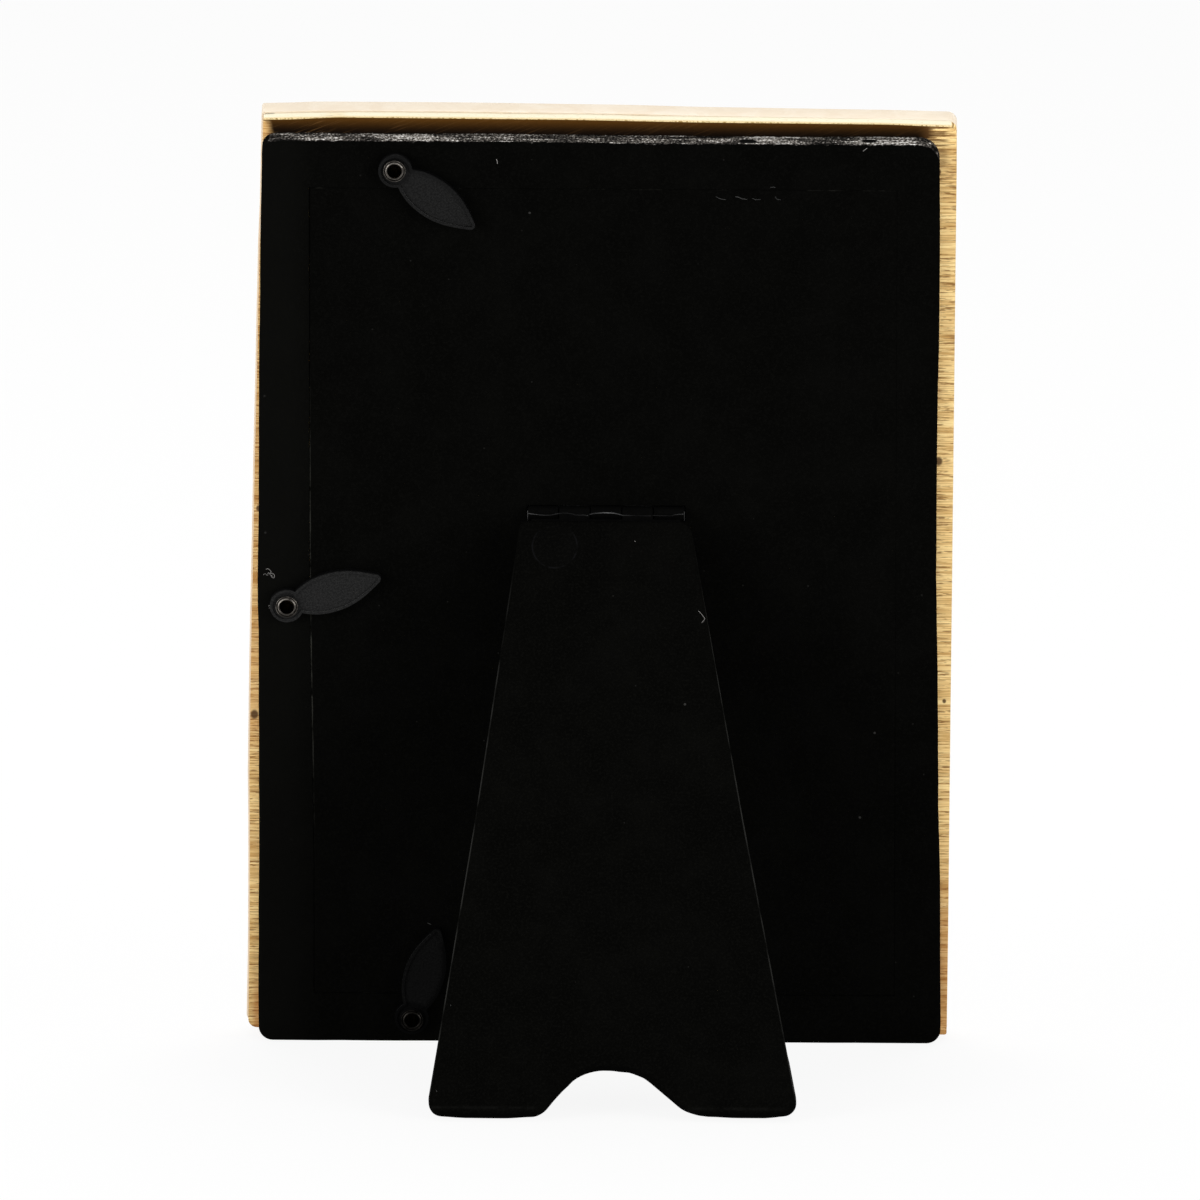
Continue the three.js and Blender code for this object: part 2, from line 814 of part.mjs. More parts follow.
function addRivets(group, name, y, flush, inward, seat) {
  for (const { side, x } of rivetPlaces()) {
    addPiece(group, `${name}_rivet_${side}`, rivet(x, y, flush, inward, seat), rivetFinish);
  }
}

function buildHinge(back) {
  const hinge = new THREE.Group();
  hinge.position.set(hingeCentreOffset, hingeRise, hingeDepth);
  back.add(hinge);
  const doorFlush = -knuckleRadius + leafThickness;
  const doorLeaf = cut(hingeLeaf(0, 1, -knuckleRadius), ...leafHoles(rivetDistance, doorFlush, -1));
  addPiece(hinge, "hinge_door_leaf", doorLeaf, hingeFinish);
  const pinHalf = hingeLength / 2;
  addPiece(hinge, "hinge_pin", crossBar(pinRadius, -pinHalf, pinHalf), hingeFinish);
  addRivets(hinge, "door", rivetDistance, doorFlush, -1, boardFront - hingeDepth);

  const leg = new THREE.Group();
  leg.rotation.x = -degrees(legOpenDegrees);
  hinge.add(leg);
  const legFlush = knuckleRadius - leafThickness;
  const legLeaf = cut(hingeLeaf(1, -1, legFlush), ...leafHoles(-rivetDistance, legFlush, 1));
  addPiece(leg, "hinge_leg_leaf", legLeaf, hingeFinish);
  addRivets(leg, "leg", -rivetDistance, legFlush, 1, legBoardBack);
  addPiece(leg, "leg_board", legBoard(), fibreboardFinish);
  addPiece(leg, "leg_velvet", legVelvet(), velvetFinish);
}

const photoFrame = new THREE.Group();
const back = new THREE.Group();
back.rotation.x = Math.PI / 2 + leanAngle();
photoFrame.add(back);
buildBody(back);
buildBack(back);
buildButtons(back);
buildHinge(back);

// The origin is under the middle of the whole frame, on the ground.
const bounds = new THREE.Box3().setFromObject(photoFrame, true);
const middle = bounds.getCenter(new THREE.Vector3());
back.position.set(-middle.x, -middle.y, -bounds.min.z);

export default photoFrame;
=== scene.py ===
import json
import math

import bmesh
import bpy
from mathutils import Matrix, Vector, noise

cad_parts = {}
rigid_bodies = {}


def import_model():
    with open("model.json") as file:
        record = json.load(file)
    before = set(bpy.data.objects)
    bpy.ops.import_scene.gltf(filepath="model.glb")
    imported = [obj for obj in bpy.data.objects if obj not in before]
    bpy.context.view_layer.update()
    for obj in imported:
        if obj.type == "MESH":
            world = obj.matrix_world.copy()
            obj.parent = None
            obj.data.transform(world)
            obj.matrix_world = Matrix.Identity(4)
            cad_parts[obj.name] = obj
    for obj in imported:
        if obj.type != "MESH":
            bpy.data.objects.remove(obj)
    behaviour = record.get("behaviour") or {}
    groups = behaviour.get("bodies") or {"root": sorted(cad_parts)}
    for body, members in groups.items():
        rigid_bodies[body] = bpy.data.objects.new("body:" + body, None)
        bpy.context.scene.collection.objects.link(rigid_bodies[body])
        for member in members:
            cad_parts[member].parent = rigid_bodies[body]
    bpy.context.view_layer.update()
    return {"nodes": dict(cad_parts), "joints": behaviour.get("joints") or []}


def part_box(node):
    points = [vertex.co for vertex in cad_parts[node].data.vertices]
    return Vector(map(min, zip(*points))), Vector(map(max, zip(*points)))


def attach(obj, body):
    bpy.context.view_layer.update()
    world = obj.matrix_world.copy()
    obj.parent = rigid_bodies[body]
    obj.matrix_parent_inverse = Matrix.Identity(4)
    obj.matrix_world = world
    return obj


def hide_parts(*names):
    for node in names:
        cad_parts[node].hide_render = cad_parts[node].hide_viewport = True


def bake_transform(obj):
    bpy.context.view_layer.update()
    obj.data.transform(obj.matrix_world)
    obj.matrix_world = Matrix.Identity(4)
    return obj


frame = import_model()
scene = bpy.context.scene
scene.view_settings.view_transform = "Standard"
noise.seed_set(5)                      # or Blender seeds its noise vectors from the clock

# Pieces are drawn in millimetres: x to the right seen from behind, y up the back, z out of it, with z = 0.25
# on the back face of the wood. The leg's pieces are drawn about the hinge pin, with y up from it too.
standing = {
    "pinAt": (1.3, 104, 5.25),
    "legOpen": 35,
    "bodyMiddle": (0.7, 89.45, 0),
    "bodySkew": -0.34,                 # degrees: the back is glued on a little crooked
}
upTheBack = Vector(next(j["axis"] for j in frame["joints"] if j["name"] == "door_hinge"))
lean = math.asin(-upTheBack.y)
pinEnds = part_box("hinge_pin")
pin = (pinEnds[0] + pinEnds[1]) / 2
toWorld = Matrix.Rotation(math.pi / 2 + lean, 4, "X") @ Matrix.Scale(0.001, 4)
backOrigin = pin - toWorld @ Vector(standing["pinAt"])
onBack = Matrix.Translation(backOrigin) @ toWorld
onLeg = Matrix.Translation(pin) @ Matrix.Rotation(-math.radians(standing["legOpen"]), 4, "X") @ toWorld
onBody = onBack @ Matrix.Translation(standing["bodyMiddle"]) @ Matrix.Rotation(
    math.radians(standing["bodySkew"]), 4, "Z")


# A socket of a node. Sums on it add Math nodes.
class Wire:
    def __init__(self, nodes, socket):
        self.nodes = nodes
        self.socket = socket

    def reckon(self, operation, first, second):
        return self.nodes.node("ShaderNodeMath", {"operation": operation}, {0: first, 1: second})

    def __add__(self, other):
        return self.reckon("ADD", self, other)

    def __radd__(self, other):
        return self.reckon("ADD", other, self)

    def __sub__(self, other):
        return self.reckon("SUBTRACT", self, other)

    def __rsub__(self, other):
        return self.reckon("SUBTRACT", other, self)

    def __mul__(self, other):
        return self.reckon("MULTIPLY", self, other)

    def __rmul__(self, other):
        return self.reckon("MULTIPLY", other, self)


# The nodes of a material or of the world
class Nodes:
    def __init__(self, tree):
        self.tree = tree

    # any node: its settings first, then the values or links of its sockets
    def node(self, kind, settings=None, sockets=None, out=0):
        made = self.tree.nodes.new(kind)
        for name, value in (settings or {}).items():
            if name == "stops":
                while len(made.color_ramp.elements) < len(value):
                    made.color_ramp.elements.new(0.5)
                for element, (place, colour) in zip(made.color_ramp.elements, value):
                    element.position = place
                    element.color = (*colour, 1)
            else:
                setattr(made, name, value)
        for name, value in (sockets or {}).items():
            self.join(value, made.inputs[name])
        return Wire(self, made.outputs[out])

    def join(self, value, socket):
        if isinstance(value, Wire):
            self.tree.links.new(value.socket, socket)
        elif socket.type == "RGBA" and len(value) == 3:
            socket.default_value = (*value, 1)
        else:
            socket.default_value = value


class Finish(Nodes):
    def __init__(self, name, roughness=0.5, metallic=0.0, fixed=None):
        self.material = bpy.data.materials.new(name)
        self.material.use_nodes = True
        super().__init__(self.material.node_tree)
        self.shader = self.tree.nodes["Principled BSDF"]
        self.put("Roughness", roughness)
        self.put("Metallic", metallic)
        for socket, value in (fixed or {}).items():
            self.put(socket, value)

    def put(self, name, value):
        self.join(value, self.shader.inputs[name])

    # coordinates in millimetres on the back, the leg or the body
    def placed(self, place):
        turn = place.to_3x3().normalized().inverted()
        shift = turn @ place.translation * -1000
        settings = {"vector_type": "POINT"}
        sockets = {
            "Vector": self.node("ShaderNodeTexCoord", out="Object"),
            "Location": tuple(shift),
            "Rotation": tuple(turn.to_euler()),
            "Scale": (1000, 1000, 1000),
        }
        return self.node("ShaderNodeMapping", settings, sockets)

    def parts(self, vector):
        split = self.node("ShaderNodeSeparateXYZ", None, {0: vector})
        node = split.socket.node
        return [Wire(self, node.outputs[i]) for i in range(3)]

    def stretched(self, vector, scale):
        return self.node("ShaderNodeMapping", None, {"Vector": vector, "Scale": scale})

    # long streaks, turned by an angle on the piece's plane
    def slanted(self, vector, degrees, size):
        sockets = {"Vector": vector, "Scale": size, "Rotation": (0, 0, math.radians(degrees))}
        return self.node("ShaderNodeMapping", {"vector_type": "TEXTURE"}, sockets)

    def grain(self, vector, scale, detail=2.0, roughness=0.5, distortion=0.0):
        sockets = {
            "Vector": vector,
            "Scale": scale,
            "Detail": detail,
            "Roughness": roughness,
            "Distortion": distortion,
        }
        return self.node("ShaderNodeTexNoise", None, sockets)

    def cells(self, vector, scale, out="Distance"):
        return self.node("ShaderNodeTexVoronoi", None, {"Vector": vector, "Scale": scale}, out)

    # 0 at low, 1 at high, smooth between
    def rise(self, value, low, high):
        settings = {"interpolation_type": "SMOOTHSTEP"}
        return self.node("ShaderNodeMapRange", settings, {"Value": value, "From Min": low, "From Max": high})

    def between(self, value, low, high, soft):
        return self.rise(value, low - soft, low + soft) * self.rise(value, high + soft, high - soft)

    def mix(self, factor, first, second):
        return self.node("ShaderNodeMix", {"data_type": "RGBA"}, {0: factor, 6: first, 7: second}, 2)

    def ramp(self, value, *stops):
        return self.node("ShaderNodeValToRGB", {"stops": stops}, {"Fac": value})

    def away(self, vector, point):
        return self.node("ShaderNodeVectorMath", {"operation": "DISTANCE"}, {0: vector, 1: point}, "Value")

    def bump(self, height, distance, strength):
        sockets = {"Height": height, "Distance": distance, "Strength": strength}
        self.put("Normal", self.node("ShaderNodeBump", None, sockets))


making = {
    "merged": 0.0005,                  # vertices nearer than this are one
    "flat": 0.5,                       # degrees, below which faces are one
    "sharp": 35,                       # degrees, above which an edge is rounded
    "barSides": 24,
}


def smoothByAngle(mesh, degrees):
    for face in mesh.faces:
        face.smooth = True
    for edge in mesh.edges:
        faces = edge.link_faces
        edge.smooth = len(faces) != 2 or edge.calc_face_angle(0) < math.radians(degrees)


# A bmesh in millimetres becomes a piece at rest in the frame, with its object at the origin.
def finishPiece(mesh, name, finish, place, body, degrees):
    bmesh.ops.remove_doubles(mesh, verts=mesh.verts, dist=making["merged"])
    bmesh.ops.recalc_face_normals(mesh, faces=mesh.faces)
    smoothByAngle(mesh, degrees)
    bmesh.ops.transform(mesh, matrix=place, verts=mesh.verts)
    data = bpy.data.meshes.new(name)
    mesh.to_mesh(data)
    mesh.free()
    piece = bpy.data.objects.new(name, data)
    scene.collection.objects.link(piece)
    data.materials.append(finish.material)
    if body:
        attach(piece, body)
    return piece


# A box between two corners.
def boxBetween(mesh, low, high):
    middle = [(a + b) / 2 for a, b in zip(low, high)]
    size = [b - a for a, b in zip(low, high)]
    place = Matrix.Translation(middle) @ Matrix.Diagonal((*size, 1))
    return bmesh.ops.create_cube(mesh, size=1, matrix=place)["verts"]


def roundEdges(mesh, edges, width, segments):
    bmesh.ops.bevel(
        mesh,
        geom=edges,
        offset=width,
        segments=segments,
        profile=0.5,
        affect="EDGES",
        material=-1,
        clamp_overlap=True,
    )


def sliceAt(mesh, axis, places):
    normal = [0, 0, 0]
    normal[axis] = 1
    for place in places:
        point = [0, 0, 0]
        point[axis] = place
        geometry = mesh.verts[:] + mesh.edges[:] + mesh.faces[:]
        bmesh.ops.bisect_plane(mesh, geom=geometry, plane_co=point, plane_no=normal, dist=0.0001)


def spaced(low, high, step):
    count = max(1, round((high - low) / step))
    return [low + (high - low) * i / count for i in range(1, count)]


# A copy of a CAD node, merged, flattened and with its sharp edges rounded.
def softened(node, place, width, segments):
    mesh = bmesh.new()
    mesh.from_mesh(frame["nodes"][node].data)
    bmesh.ops.transform(mesh, matrix=place.inverted(), verts=mesh.verts)
    bmesh.ops.remove_doubles(mesh, verts=mesh.verts, dist=making["merged"])
    flat, sharp = math.radians(making["flat"]), math.radians(making["sharp"])
    bmesh.ops.dissolve_limit(mesh, angle_limit=flat, verts=mesh.verts, edges=mesh.edges)
    edges = [e for e in mesh.edges if len(e.link_faces) == 2 and e.calc_face_angle(0) > sharp]
    if width:
        roundEdges(mesh, edges, width, segments)
    return mesh


# The velvet's colours are nearly black, and sheen is kept low, because its pile swallows the light.
velvetCloth = {
    "colour": (0.0014, 0.0014, 0.0012),
    "worn": (0.0028, 0.0028, 0.0025),
    "rubbed": (0.0034, 0.0034, 0.003),                  # the leg's, a little lighter all over
    "speck": (0.026, 0.0255, 0.024),
    # the seam's pale edge: cut cloth, and a painted highlight where the edge catches the light
    "cutEdge": (0.024, 0.024, 0.0205),
    # painted highlight along the leg's folded edges and its foot's lip
    "edgeHighlight": (0.02, 0.02, 0.0185),
    "pressed": (0.0062, 0.0062, 0.0067),
    "pile": 0.00004,                                    # metres
    "roughness": 0.95,
    "lint": ((0.11, (0.66, 0.68), (0.032, 0.018), 1), (0.3, (0.7, 0.73), (0.06, 0.03), 0.3)),
}
# Dried glue on the cloth along the board's head, painted pale grey to white also as the highlights of the
# light on that upward face: places are x, or heights below the head
glueAndHighlights = {
    "shades": (
        (0.675, (0.004, 0.004, 0.0038)),
        (0.775, (0.045, 0.041, 0.037)),
        (0.85, (0.24, 0.22, 0.195)),
        (0.935, (0.8, 0.78, 0.75)),
    ),
    "edge": (0.4, 0.05),
    "slope": 0.0024,
    "depth": (5.75, 5.15),
    "corner": (58.6, 4.1),                              # it and its painted highlights curl round the board's right corner
    "curl": (3.9, 4.15),
    "curlFrom": ((58.4, 59), (171.5, 173.5)),
    "bare": (57.8, 59.6),
    "thick": ((47, 57.8, 0.07), (-38, -31, 0.06)),
    "dents": (((27.2, 2.9), 1.75), ((49.6, 2.6), 1.5)),  # x, z and radius
    "roughness": 0.5,
}
# What shows on the leg's velvet: a pressed ring, and painted highlights along its folded edges and its foot's
# lip
legWearAndHighlights = {
    "ring": (-9.35, -7.5, 4.15),                        # a button's round mark in the pile
    "ringRadii": (4.0, 4.25),
    "ringHeights": (-3.8, -6.4),
    "sides": ((-15.336, 0.14552), (15.243, -0.18279)),  # x at the hinge and slope of both long edges
    "middle": 58.85,
    "half": 56.35,
    "hollow": 0.4,
    # where the painted highlights run: along the folded edges, and along the foot's lip
    "foldWidth": (0.3, 0.14),
    "lip": (-114.6, -114.1),
}


def velvetColour(finish, where, worn="worn"):
    cloth = velvetCloth
    cloudy = finish.grain(where, 0.12, 3.0, 0.6)
    colour = finish.mix(finish.rise(cloudy, 0.3, 0.8) * 0.45, cloth["colour"], cloth[worn])
    fine = finish.grain(where, 2.2, 2.0, 0.6)
    colour = finish.mix(finish.rise(fine, 0.44, 0.7) * 0.6, colour, cloth[worn])
    lint = 0
    for scale, rare, spot, share in cloth["lint"]:
        lone = finish.rise(finish.cells(where, scale, "Color"), *rare)
        lint = lone * finish.rise(finish.cells(where, scale), *spot) * share + lint
    return finish.mix(lint, colour, cloth["speck"])


def velvet(name, place):
    finish = Finish(name, velvetCloth["roughness"], fixed={
        "Specular IOR Level": 0.0,
        "Sheen Weight": 0.004,
        "Sheen Roughness": 0.4,
        "Sheen Tint": (0.6, 0.6, 0.58, 1),
    })
    where = finish.placed(place)
    pile = finish.grain(where, 5.0, 2.0, 0.7)
    finish.bump(pile, velvetCloth["pile"], 0.6)
    return finish, where


# Pale grey to white: dried glue, and painted highlights on the board's upward face
def glueColour(finish, where, x, ragged):
    s = glueAndHighlights
    fibres = finish.grain(finish.stretched(where, (2.2, 1, 1.5)), 1.0, 2.0, 0.6)
    streaks = finish.grain(finish.stretched(where, (0.16, 1, 1.5)), 1.0, 4.0, 0.7)
    patches = finish.grain(finish.stretched(where, (0.075, 1, 0.3)), 1.0, 2.0)
    shade = fibres * 0.6 + streaks * 0.65 + patches * 0.3 - finish.rise(x, *s["bare"]) * 0.08
    for low, high, more in s["thick"]:
        shade = shade + finish.between(x, low, high, 1.0) * more
    colour = finish.ramp(shade, *s["shades"])
    dark = s["shades"][0][1]
    for (across, out), radius in s["dents"]:
        reach = finish.away(finish.stretched(where, (1, 0, 1.5)), (across, 0, out * 1.5))
        colour = finish.mix(finish.rise(reach + ragged * 0.5, radius + 0.35, radius), colour, dark)
    return colour


# The board's velvet: dried glue along its upper edge, painted pale also as the highlights that the light from
# above puts there, and dusty patches at its left side.
def surroundVelvetFinish():
    s, head = glueAndHighlights, backBoard["height"]
    finish, where = velvet("velvet of the back", onBack)
    x, y, z = finish.parts(where)
    colour = velvetColour(finish, where)
    ragged = finish.grain(where, 0.9, 4.0, 0.65)
    low, high = s["edge"]
    gluedAndLit = finish.rise(y + ragged * 0.5 + x * s["slope"], head - low, head - high)
    across, below = s["corner"]
    reach = finish.away(finish.node("ShaderNodeCombineXYZ", None, {0: x, 1: y}), (across, head - below, 0))
    fromLeft, fromFoot = s["curlFrom"]
    curl = finish.rise(reach + ragged * 0.6, *s["curl"])
    curl = curl * finish.rise(x, *fromLeft) * finish.rise(y, *fromFoot)
    gluedAndLit = finish.rise(gluedAndLit + curl, 0, 1) * finish.rise(z + ragged * 1.9, *s["depth"])
    for at, across in backBoard["smudges"]:
        reach = finish.away(where, (*at, backBoard["back"]))
        dusty = finish.rise(reach, across, 0.2) * finish.rise(ragged, 0.4, 0.65)
        colour = finish.mix(dusty * 0.5, colour, velvetCloth["rubbed"])
    colour = finish.mix(finish.rise(x, *backBoard["dusty"]) * 0.6, colour, velvetCloth["rubbed"])
    finish.put("Base Color", finish.mix(gluedAndLit, colour, glueColour(finish, where, x, ragged)))
    finish.put("Roughness", velvetCloth["roughness"] - gluedAndLit * (velvetCloth["roughness"] - s["roughness"]))
    return finish


# The door's velvet: the cloth's cut edge shows pale in places along the seam, painted lighter both for the
# cut cloth and as a highlight where the edge catches the light.
def doorVelvetFinish():
    s = doorCut
    finish, where = velvet("velvet of the door", onBack)
    x, y = finish.parts(where)[:2]
    colour = velvetColour(finish, where)
    wobble = finish.grain(finish.stretched(where, (0, 0.25, 0)), 1.0, 3.0) * 0.24
    patchy = finish.grain(finish.stretched(where, (0.2, 0.2, 0)), 1.0, 4.0, 0.7)
    (low, shift), (high, still) = s["skew"]
    skewed = x - finish.rise(y, high, low) * (shift - still)
    # The pale seam lines: cut cloth, and painted highlights where its edges catch the light
    leftSeam = finish.rise(skewed + wobble, *s["leftPale"]) * finish.rise(patchy, 0.36, 0.6)
    for fading in s["leftPaleAt"]:
        leftSeam = leftSeam * finish.rise(y, *fading)
    headSeam = finish.rise(y - wobble, *s["headPale"]) * finish.rise(patchy, 0.45, 0.75) * 0.4
    footSeam = finish.rise(y + wobble, *s["footPale"]) * finish.rise(patchy, 0.45, 0.75) * 0.3
    seam = leftSeam + headSeam + footSeam
    finish.put("Base Color", finish.mix(seam, colour, velvetCloth["cutEdge"]))
    return finish


# The leg's velvet: a round mark near its top, and painted grey highlights along its folded edges and its
# foot's lip.
def legVelvetFinish():
    s = legWearAndHighlights
    finish, where = velvet("velvet of the leg", onLeg)
    colour = velvetColour(finish, where, "rubbed")
    x, y, z = finish.parts(where)
    ring = finish.away(where, s["ring"])
    patchy = finish.grain(where, 0.35, 3.0)
    low, high = s["ringRadii"]
    pressed = finish.between(ring, low, high, 0.1) * finish.rise(patchy, 0.35, 0.6)
    pressed = pressed * finish.rise(y, *s["ringHeights"])
    inside = finish.rise(ring, low + 0.1, low - 0.1) * 0.05
    colour = finish.mix(pressed * 0.7 + inside, colour, velvetCloth["pressed"])
    along = (y + s["middle"]) * (1 / s["half"])
    hollow = s["hollow"] - finish.node("ShaderNodeMath", {"operation": "ABSOLUTE"}, {0: along}) * s["hollow"]
    (leftStart, leftSlope), (rightStart, rightSlope) = s["sides"]
    leftEdge = leftStart + y * leftSlope + hollow
    rightEdge = rightStart + y * rightSlope - hollow
    wide, narrow = s["foldWidth"]
    # Painted highlights along both folded edges, broken up along their length
    foldHighlights = finish.rise(x - leftEdge, wide, narrow) + finish.rise(x - rightEdge, -wide, -narrow) * 0.7
    lightly = finish.rise(x, 5, 8) * finish.rise(y, -5, -9) * 0.5
    rubbed = finish.grain(finish.stretched(where, (0.3, 0.16, 0.3)), 1.0, 3.0)
    foldHighlights = foldHighlights * (finish.rise(y, -8, -30) + lightly) * finish.rise(z, 3.1, 3.5)
    foldHighlights = foldHighlights * finish.rise(rubbed, 0.3, 0.62)
    colour = finish.mix(foldHighlights, colour, velvetCloth["edgeHighlight"])
    # and a faint painted highlight along the foot's lip
    lip = finish.between(y, *s["lip"], 0.3) * finish.rise(rubbed, 0.35, 0.6)
    colour = finish.mix(lip * 0.12, colour, velvetCloth["edgeHighlight"])
    finish.put("Base Color", colour)
    return finish


backBoard = {
    "width": 125.0,
    "height": 176.2,
    "corners": {(-1, -1): 2.6, (1, -1): 2.6, (-1, 1): 2.4, (1, 1): 3.8},
    "front": 0.25,
    "back": 5.25,
    "middle": 88,
    "edge": 0.55,
    "cloth": 0.45,
    "step": 5.0,
    "eyelets": ((-37.65, 171.3), (-57.5, 86.1), (-34.4, 5.0)),
    "eyeletHole": 1.7,
    "holeDepth": (4.2, 6),
    "waver": (9, 0.1),                 # size and height of the cut edges' unevenness
    "wanderWithin": 4,
    "headWander": ((-63, 0.0), (-20, -0.05), (30, -0.3), (63, -0.25)),
    "leftWander": (
        (0, -0.3), (10, -0.36), (20, -0.33), (40, -0.21), (61, -0.26), (80, -0.24), (86, -0.43),
        (93, -0.43), (101, -0.25), (121, -0.19), (131, -0.14), (151, 0.1), (161, 0.18), (171, 0.41),
    ),
    "rightWander": (
        (0, 0.78), (20, 0.67), (30, 0.59), (35, 0.47), (45, 0.2), (50, 0.23), (56, 0.15), (71, -0.01),
        (81, -0.18), (91, -0.3), (111, -0.29), (121, -0.23), (141, 0.06), (156, 0.13), (166, 0.07),
        (176, -0.02),
    ),
    "dusty": (-50, -58),               # x, towards the left side
    "smudges": (((-61.6, 38.8), 1.6), ((-61.8, 13.0), 2.2), ((-60.5, 6.5), 4.0)),
}
doorCut = {
    "lap": 0.17,                       # the pile closes the seam by this much from each side
    "left": -53.6,
    "right": 54.8,
    "rightGap": 0.02,
    "foot": 9.2,
    "head": 167.5,
    "seam": 0.4,
    "slot": (-13.35, 15.95, 102.45, 105.55),
    "skew": ((30, 0.75), (98, 0.0)),   # the left cut leans in towards the foot
    "rims": (0.2, 0.5),                # rows of faces along the cut edges
    "raggedLeft": 0.08,
    "raggedEnds": 0.14,
    "pressed": (0.5, 0.22),            # how far in and how deep the cut edge is pressed down
    "hingeAt": 54.6,
    "crease": (0.35, 0.09),
    "bend": (0.19, -0.25),             # from here to there, either side of the crease
    "leftPale": (-52.93, -53.06),
    "leftPaleAt": ((28, 76), (136, 96)),
    "headPale": (166.88, 167.1),
    "footPale": (9.85, 9.65),
}


# The value at a place in a table of (place, value).
def reading(table, place):
    for (low, before), (high, after) in zip(table, table[1:]):
        if place <= high:
            share = max(0, (place - low) / (high - low))
            return before + (after - before) * share * share * (3 - 2 * share)
    return table[-1][1]


def near(value, target, room=0.01):
    return abs(value - target) < room


def faceMiddle(face):
    return face.calc_center_median()


# Turns an open sheet's faces over where one of its outer faces looks inwards.
def faceUp(mesh, sample):
    if sample.normal.z < 0:
        bmesh.ops.reverse_faces(mesh, faces=mesh.faces)


# Holes that an operator doesn't cut: round bars taken out of a piece.
def boreHoles(piece, places, radius, low, high):
    bars = bmesh.new()
    for x, y in places:
        place = Matrix.Translation((x, y, (low + high) / 2))
        bmesh.ops.create_cone(
            bars,
            cap_ends=True,
            segments=making["barSides"],
            radius1=radius,
            radius2=radius,
            depth=high - low,
            matrix=place,
        )
    bmesh.ops.transform(bars, matrix=onBack, verts=bars.verts)
    data = bpy.data.meshes.new("bars")
    bars.to_mesh(data)
    bars.free()
    tool = bpy.data.objects.new("bars", data)
    scene.collection.objects.link(tool)
    cut = piece.modifiers.new("holes", "BOOLEAN")
    cut.object = tool
    cut.operation = "DIFFERENCE"
    cut.solver = "EXACT"
    bpy.context.view_layer.update()
    shown = piece.evaluated_get(bpy.context.evaluated_depsgraph_get())
    piece.data = bpy.data.meshes.new_from_object(shown)
    piece.modifiers.clear()
    bpy.data.objects.remove(tool)


def makeSurroundVelvet(finish):
    s, d = backBoard, doorCut
    half = s["width"] / 2
    mesh = bmesh.new()
    boxBetween(mesh, (-half, 0, s["front"]), (half, s["height"], s["back"]))
    for (across, up), radius in s["corners"].items():
        at = Vector((across * half, s["height"] * (up + 1) / 2))
        upright = [e for e in mesh.edges if all(near((v.co.xy - at).length, 0) for v in e.verts)]
        roundEdges(mesh, upright, radius, 8)
    front = [f for f in mesh.faces if near(faceMiddle(f).z, s["front"])]
    bmesh.ops.delete(mesh, geom=front, context="FACES_ONLY")
    rim = [e for e in mesh.edges if all(near(v.co.z, s["back"]) for v in e.verts)]
    roundEdges(mesh, rim, s["edge"], 4)
    left, foot, head = d["left"] + d["lap"], d["foot"] + d["lap"], d["head"] - d["lap"]
    sliceAt(mesh, 0, [left, d["right"]])
    sliceAt(mesh, 1, [foot, head])

    def isOpening(face):
        at = faceMiddle(face)
        return left < at.x < d["right"] and foot < at.y < head and near(at.z, s["back"])

    bmesh.ops.delete(mesh, geom=[f for f in mesh.faces if isOpening(f)], context="FACES")
    sliceAt(mesh, 0, spaced(-half, half, s["step"]))
    sliceAt(mesh, 1, spaced(0, s["height"], s["step"]))
    bmesh.ops.recalc_face_normals(mesh, faces=mesh.faces)
    size, height = s["waver"]
    for vert in mesh.verts:                                # the cut and the wrapped edges waver a little
        wander = noise.noise_vector(vert.co / size)
        inward = Vector((-math.copysign(1, vert.co.x), -math.copysign(1, vert.co.y - s["middle"]), 0))
        vert.co += Vector((inward.x * abs(wander.x), inward.y * abs(wander.y), 0)) * height
        if abs(vert.co.x) > half - s["wanderWithin"]:
            vert.co.x += reading(s["rightWander" if vert.co.x > 0 else "leftWander"], vert.co.y)
        if vert.co.y > s["height"] - s["wanderWithin"]:
            vert.co.y += reading(s["headWander"], vert.co.x)
        if near(vert.co.x, left, 0.3) and foot - 0.3 < vert.co.y < head + 0.3:
            vert.co.x += reading(d["skew"], vert.co.y)
    faceUp(mesh, min(mesh.faces, key=lambda f: (faceMiddle(f) - Vector((60, s["middle"], s["back"]))).length))
    bmesh.ops.solidify(mesh, geom=mesh.faces, thickness=s["cloth"])
    piece = finishPiece(mesh, "velvet_surround", finish, onBack, None, 50)
    boreHoles(piece, s["eyelets"], s["eyeletHole"], *s["holeDepth"])
    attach(piece, "frame_body")
    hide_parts("surround_velvet")
    return piece
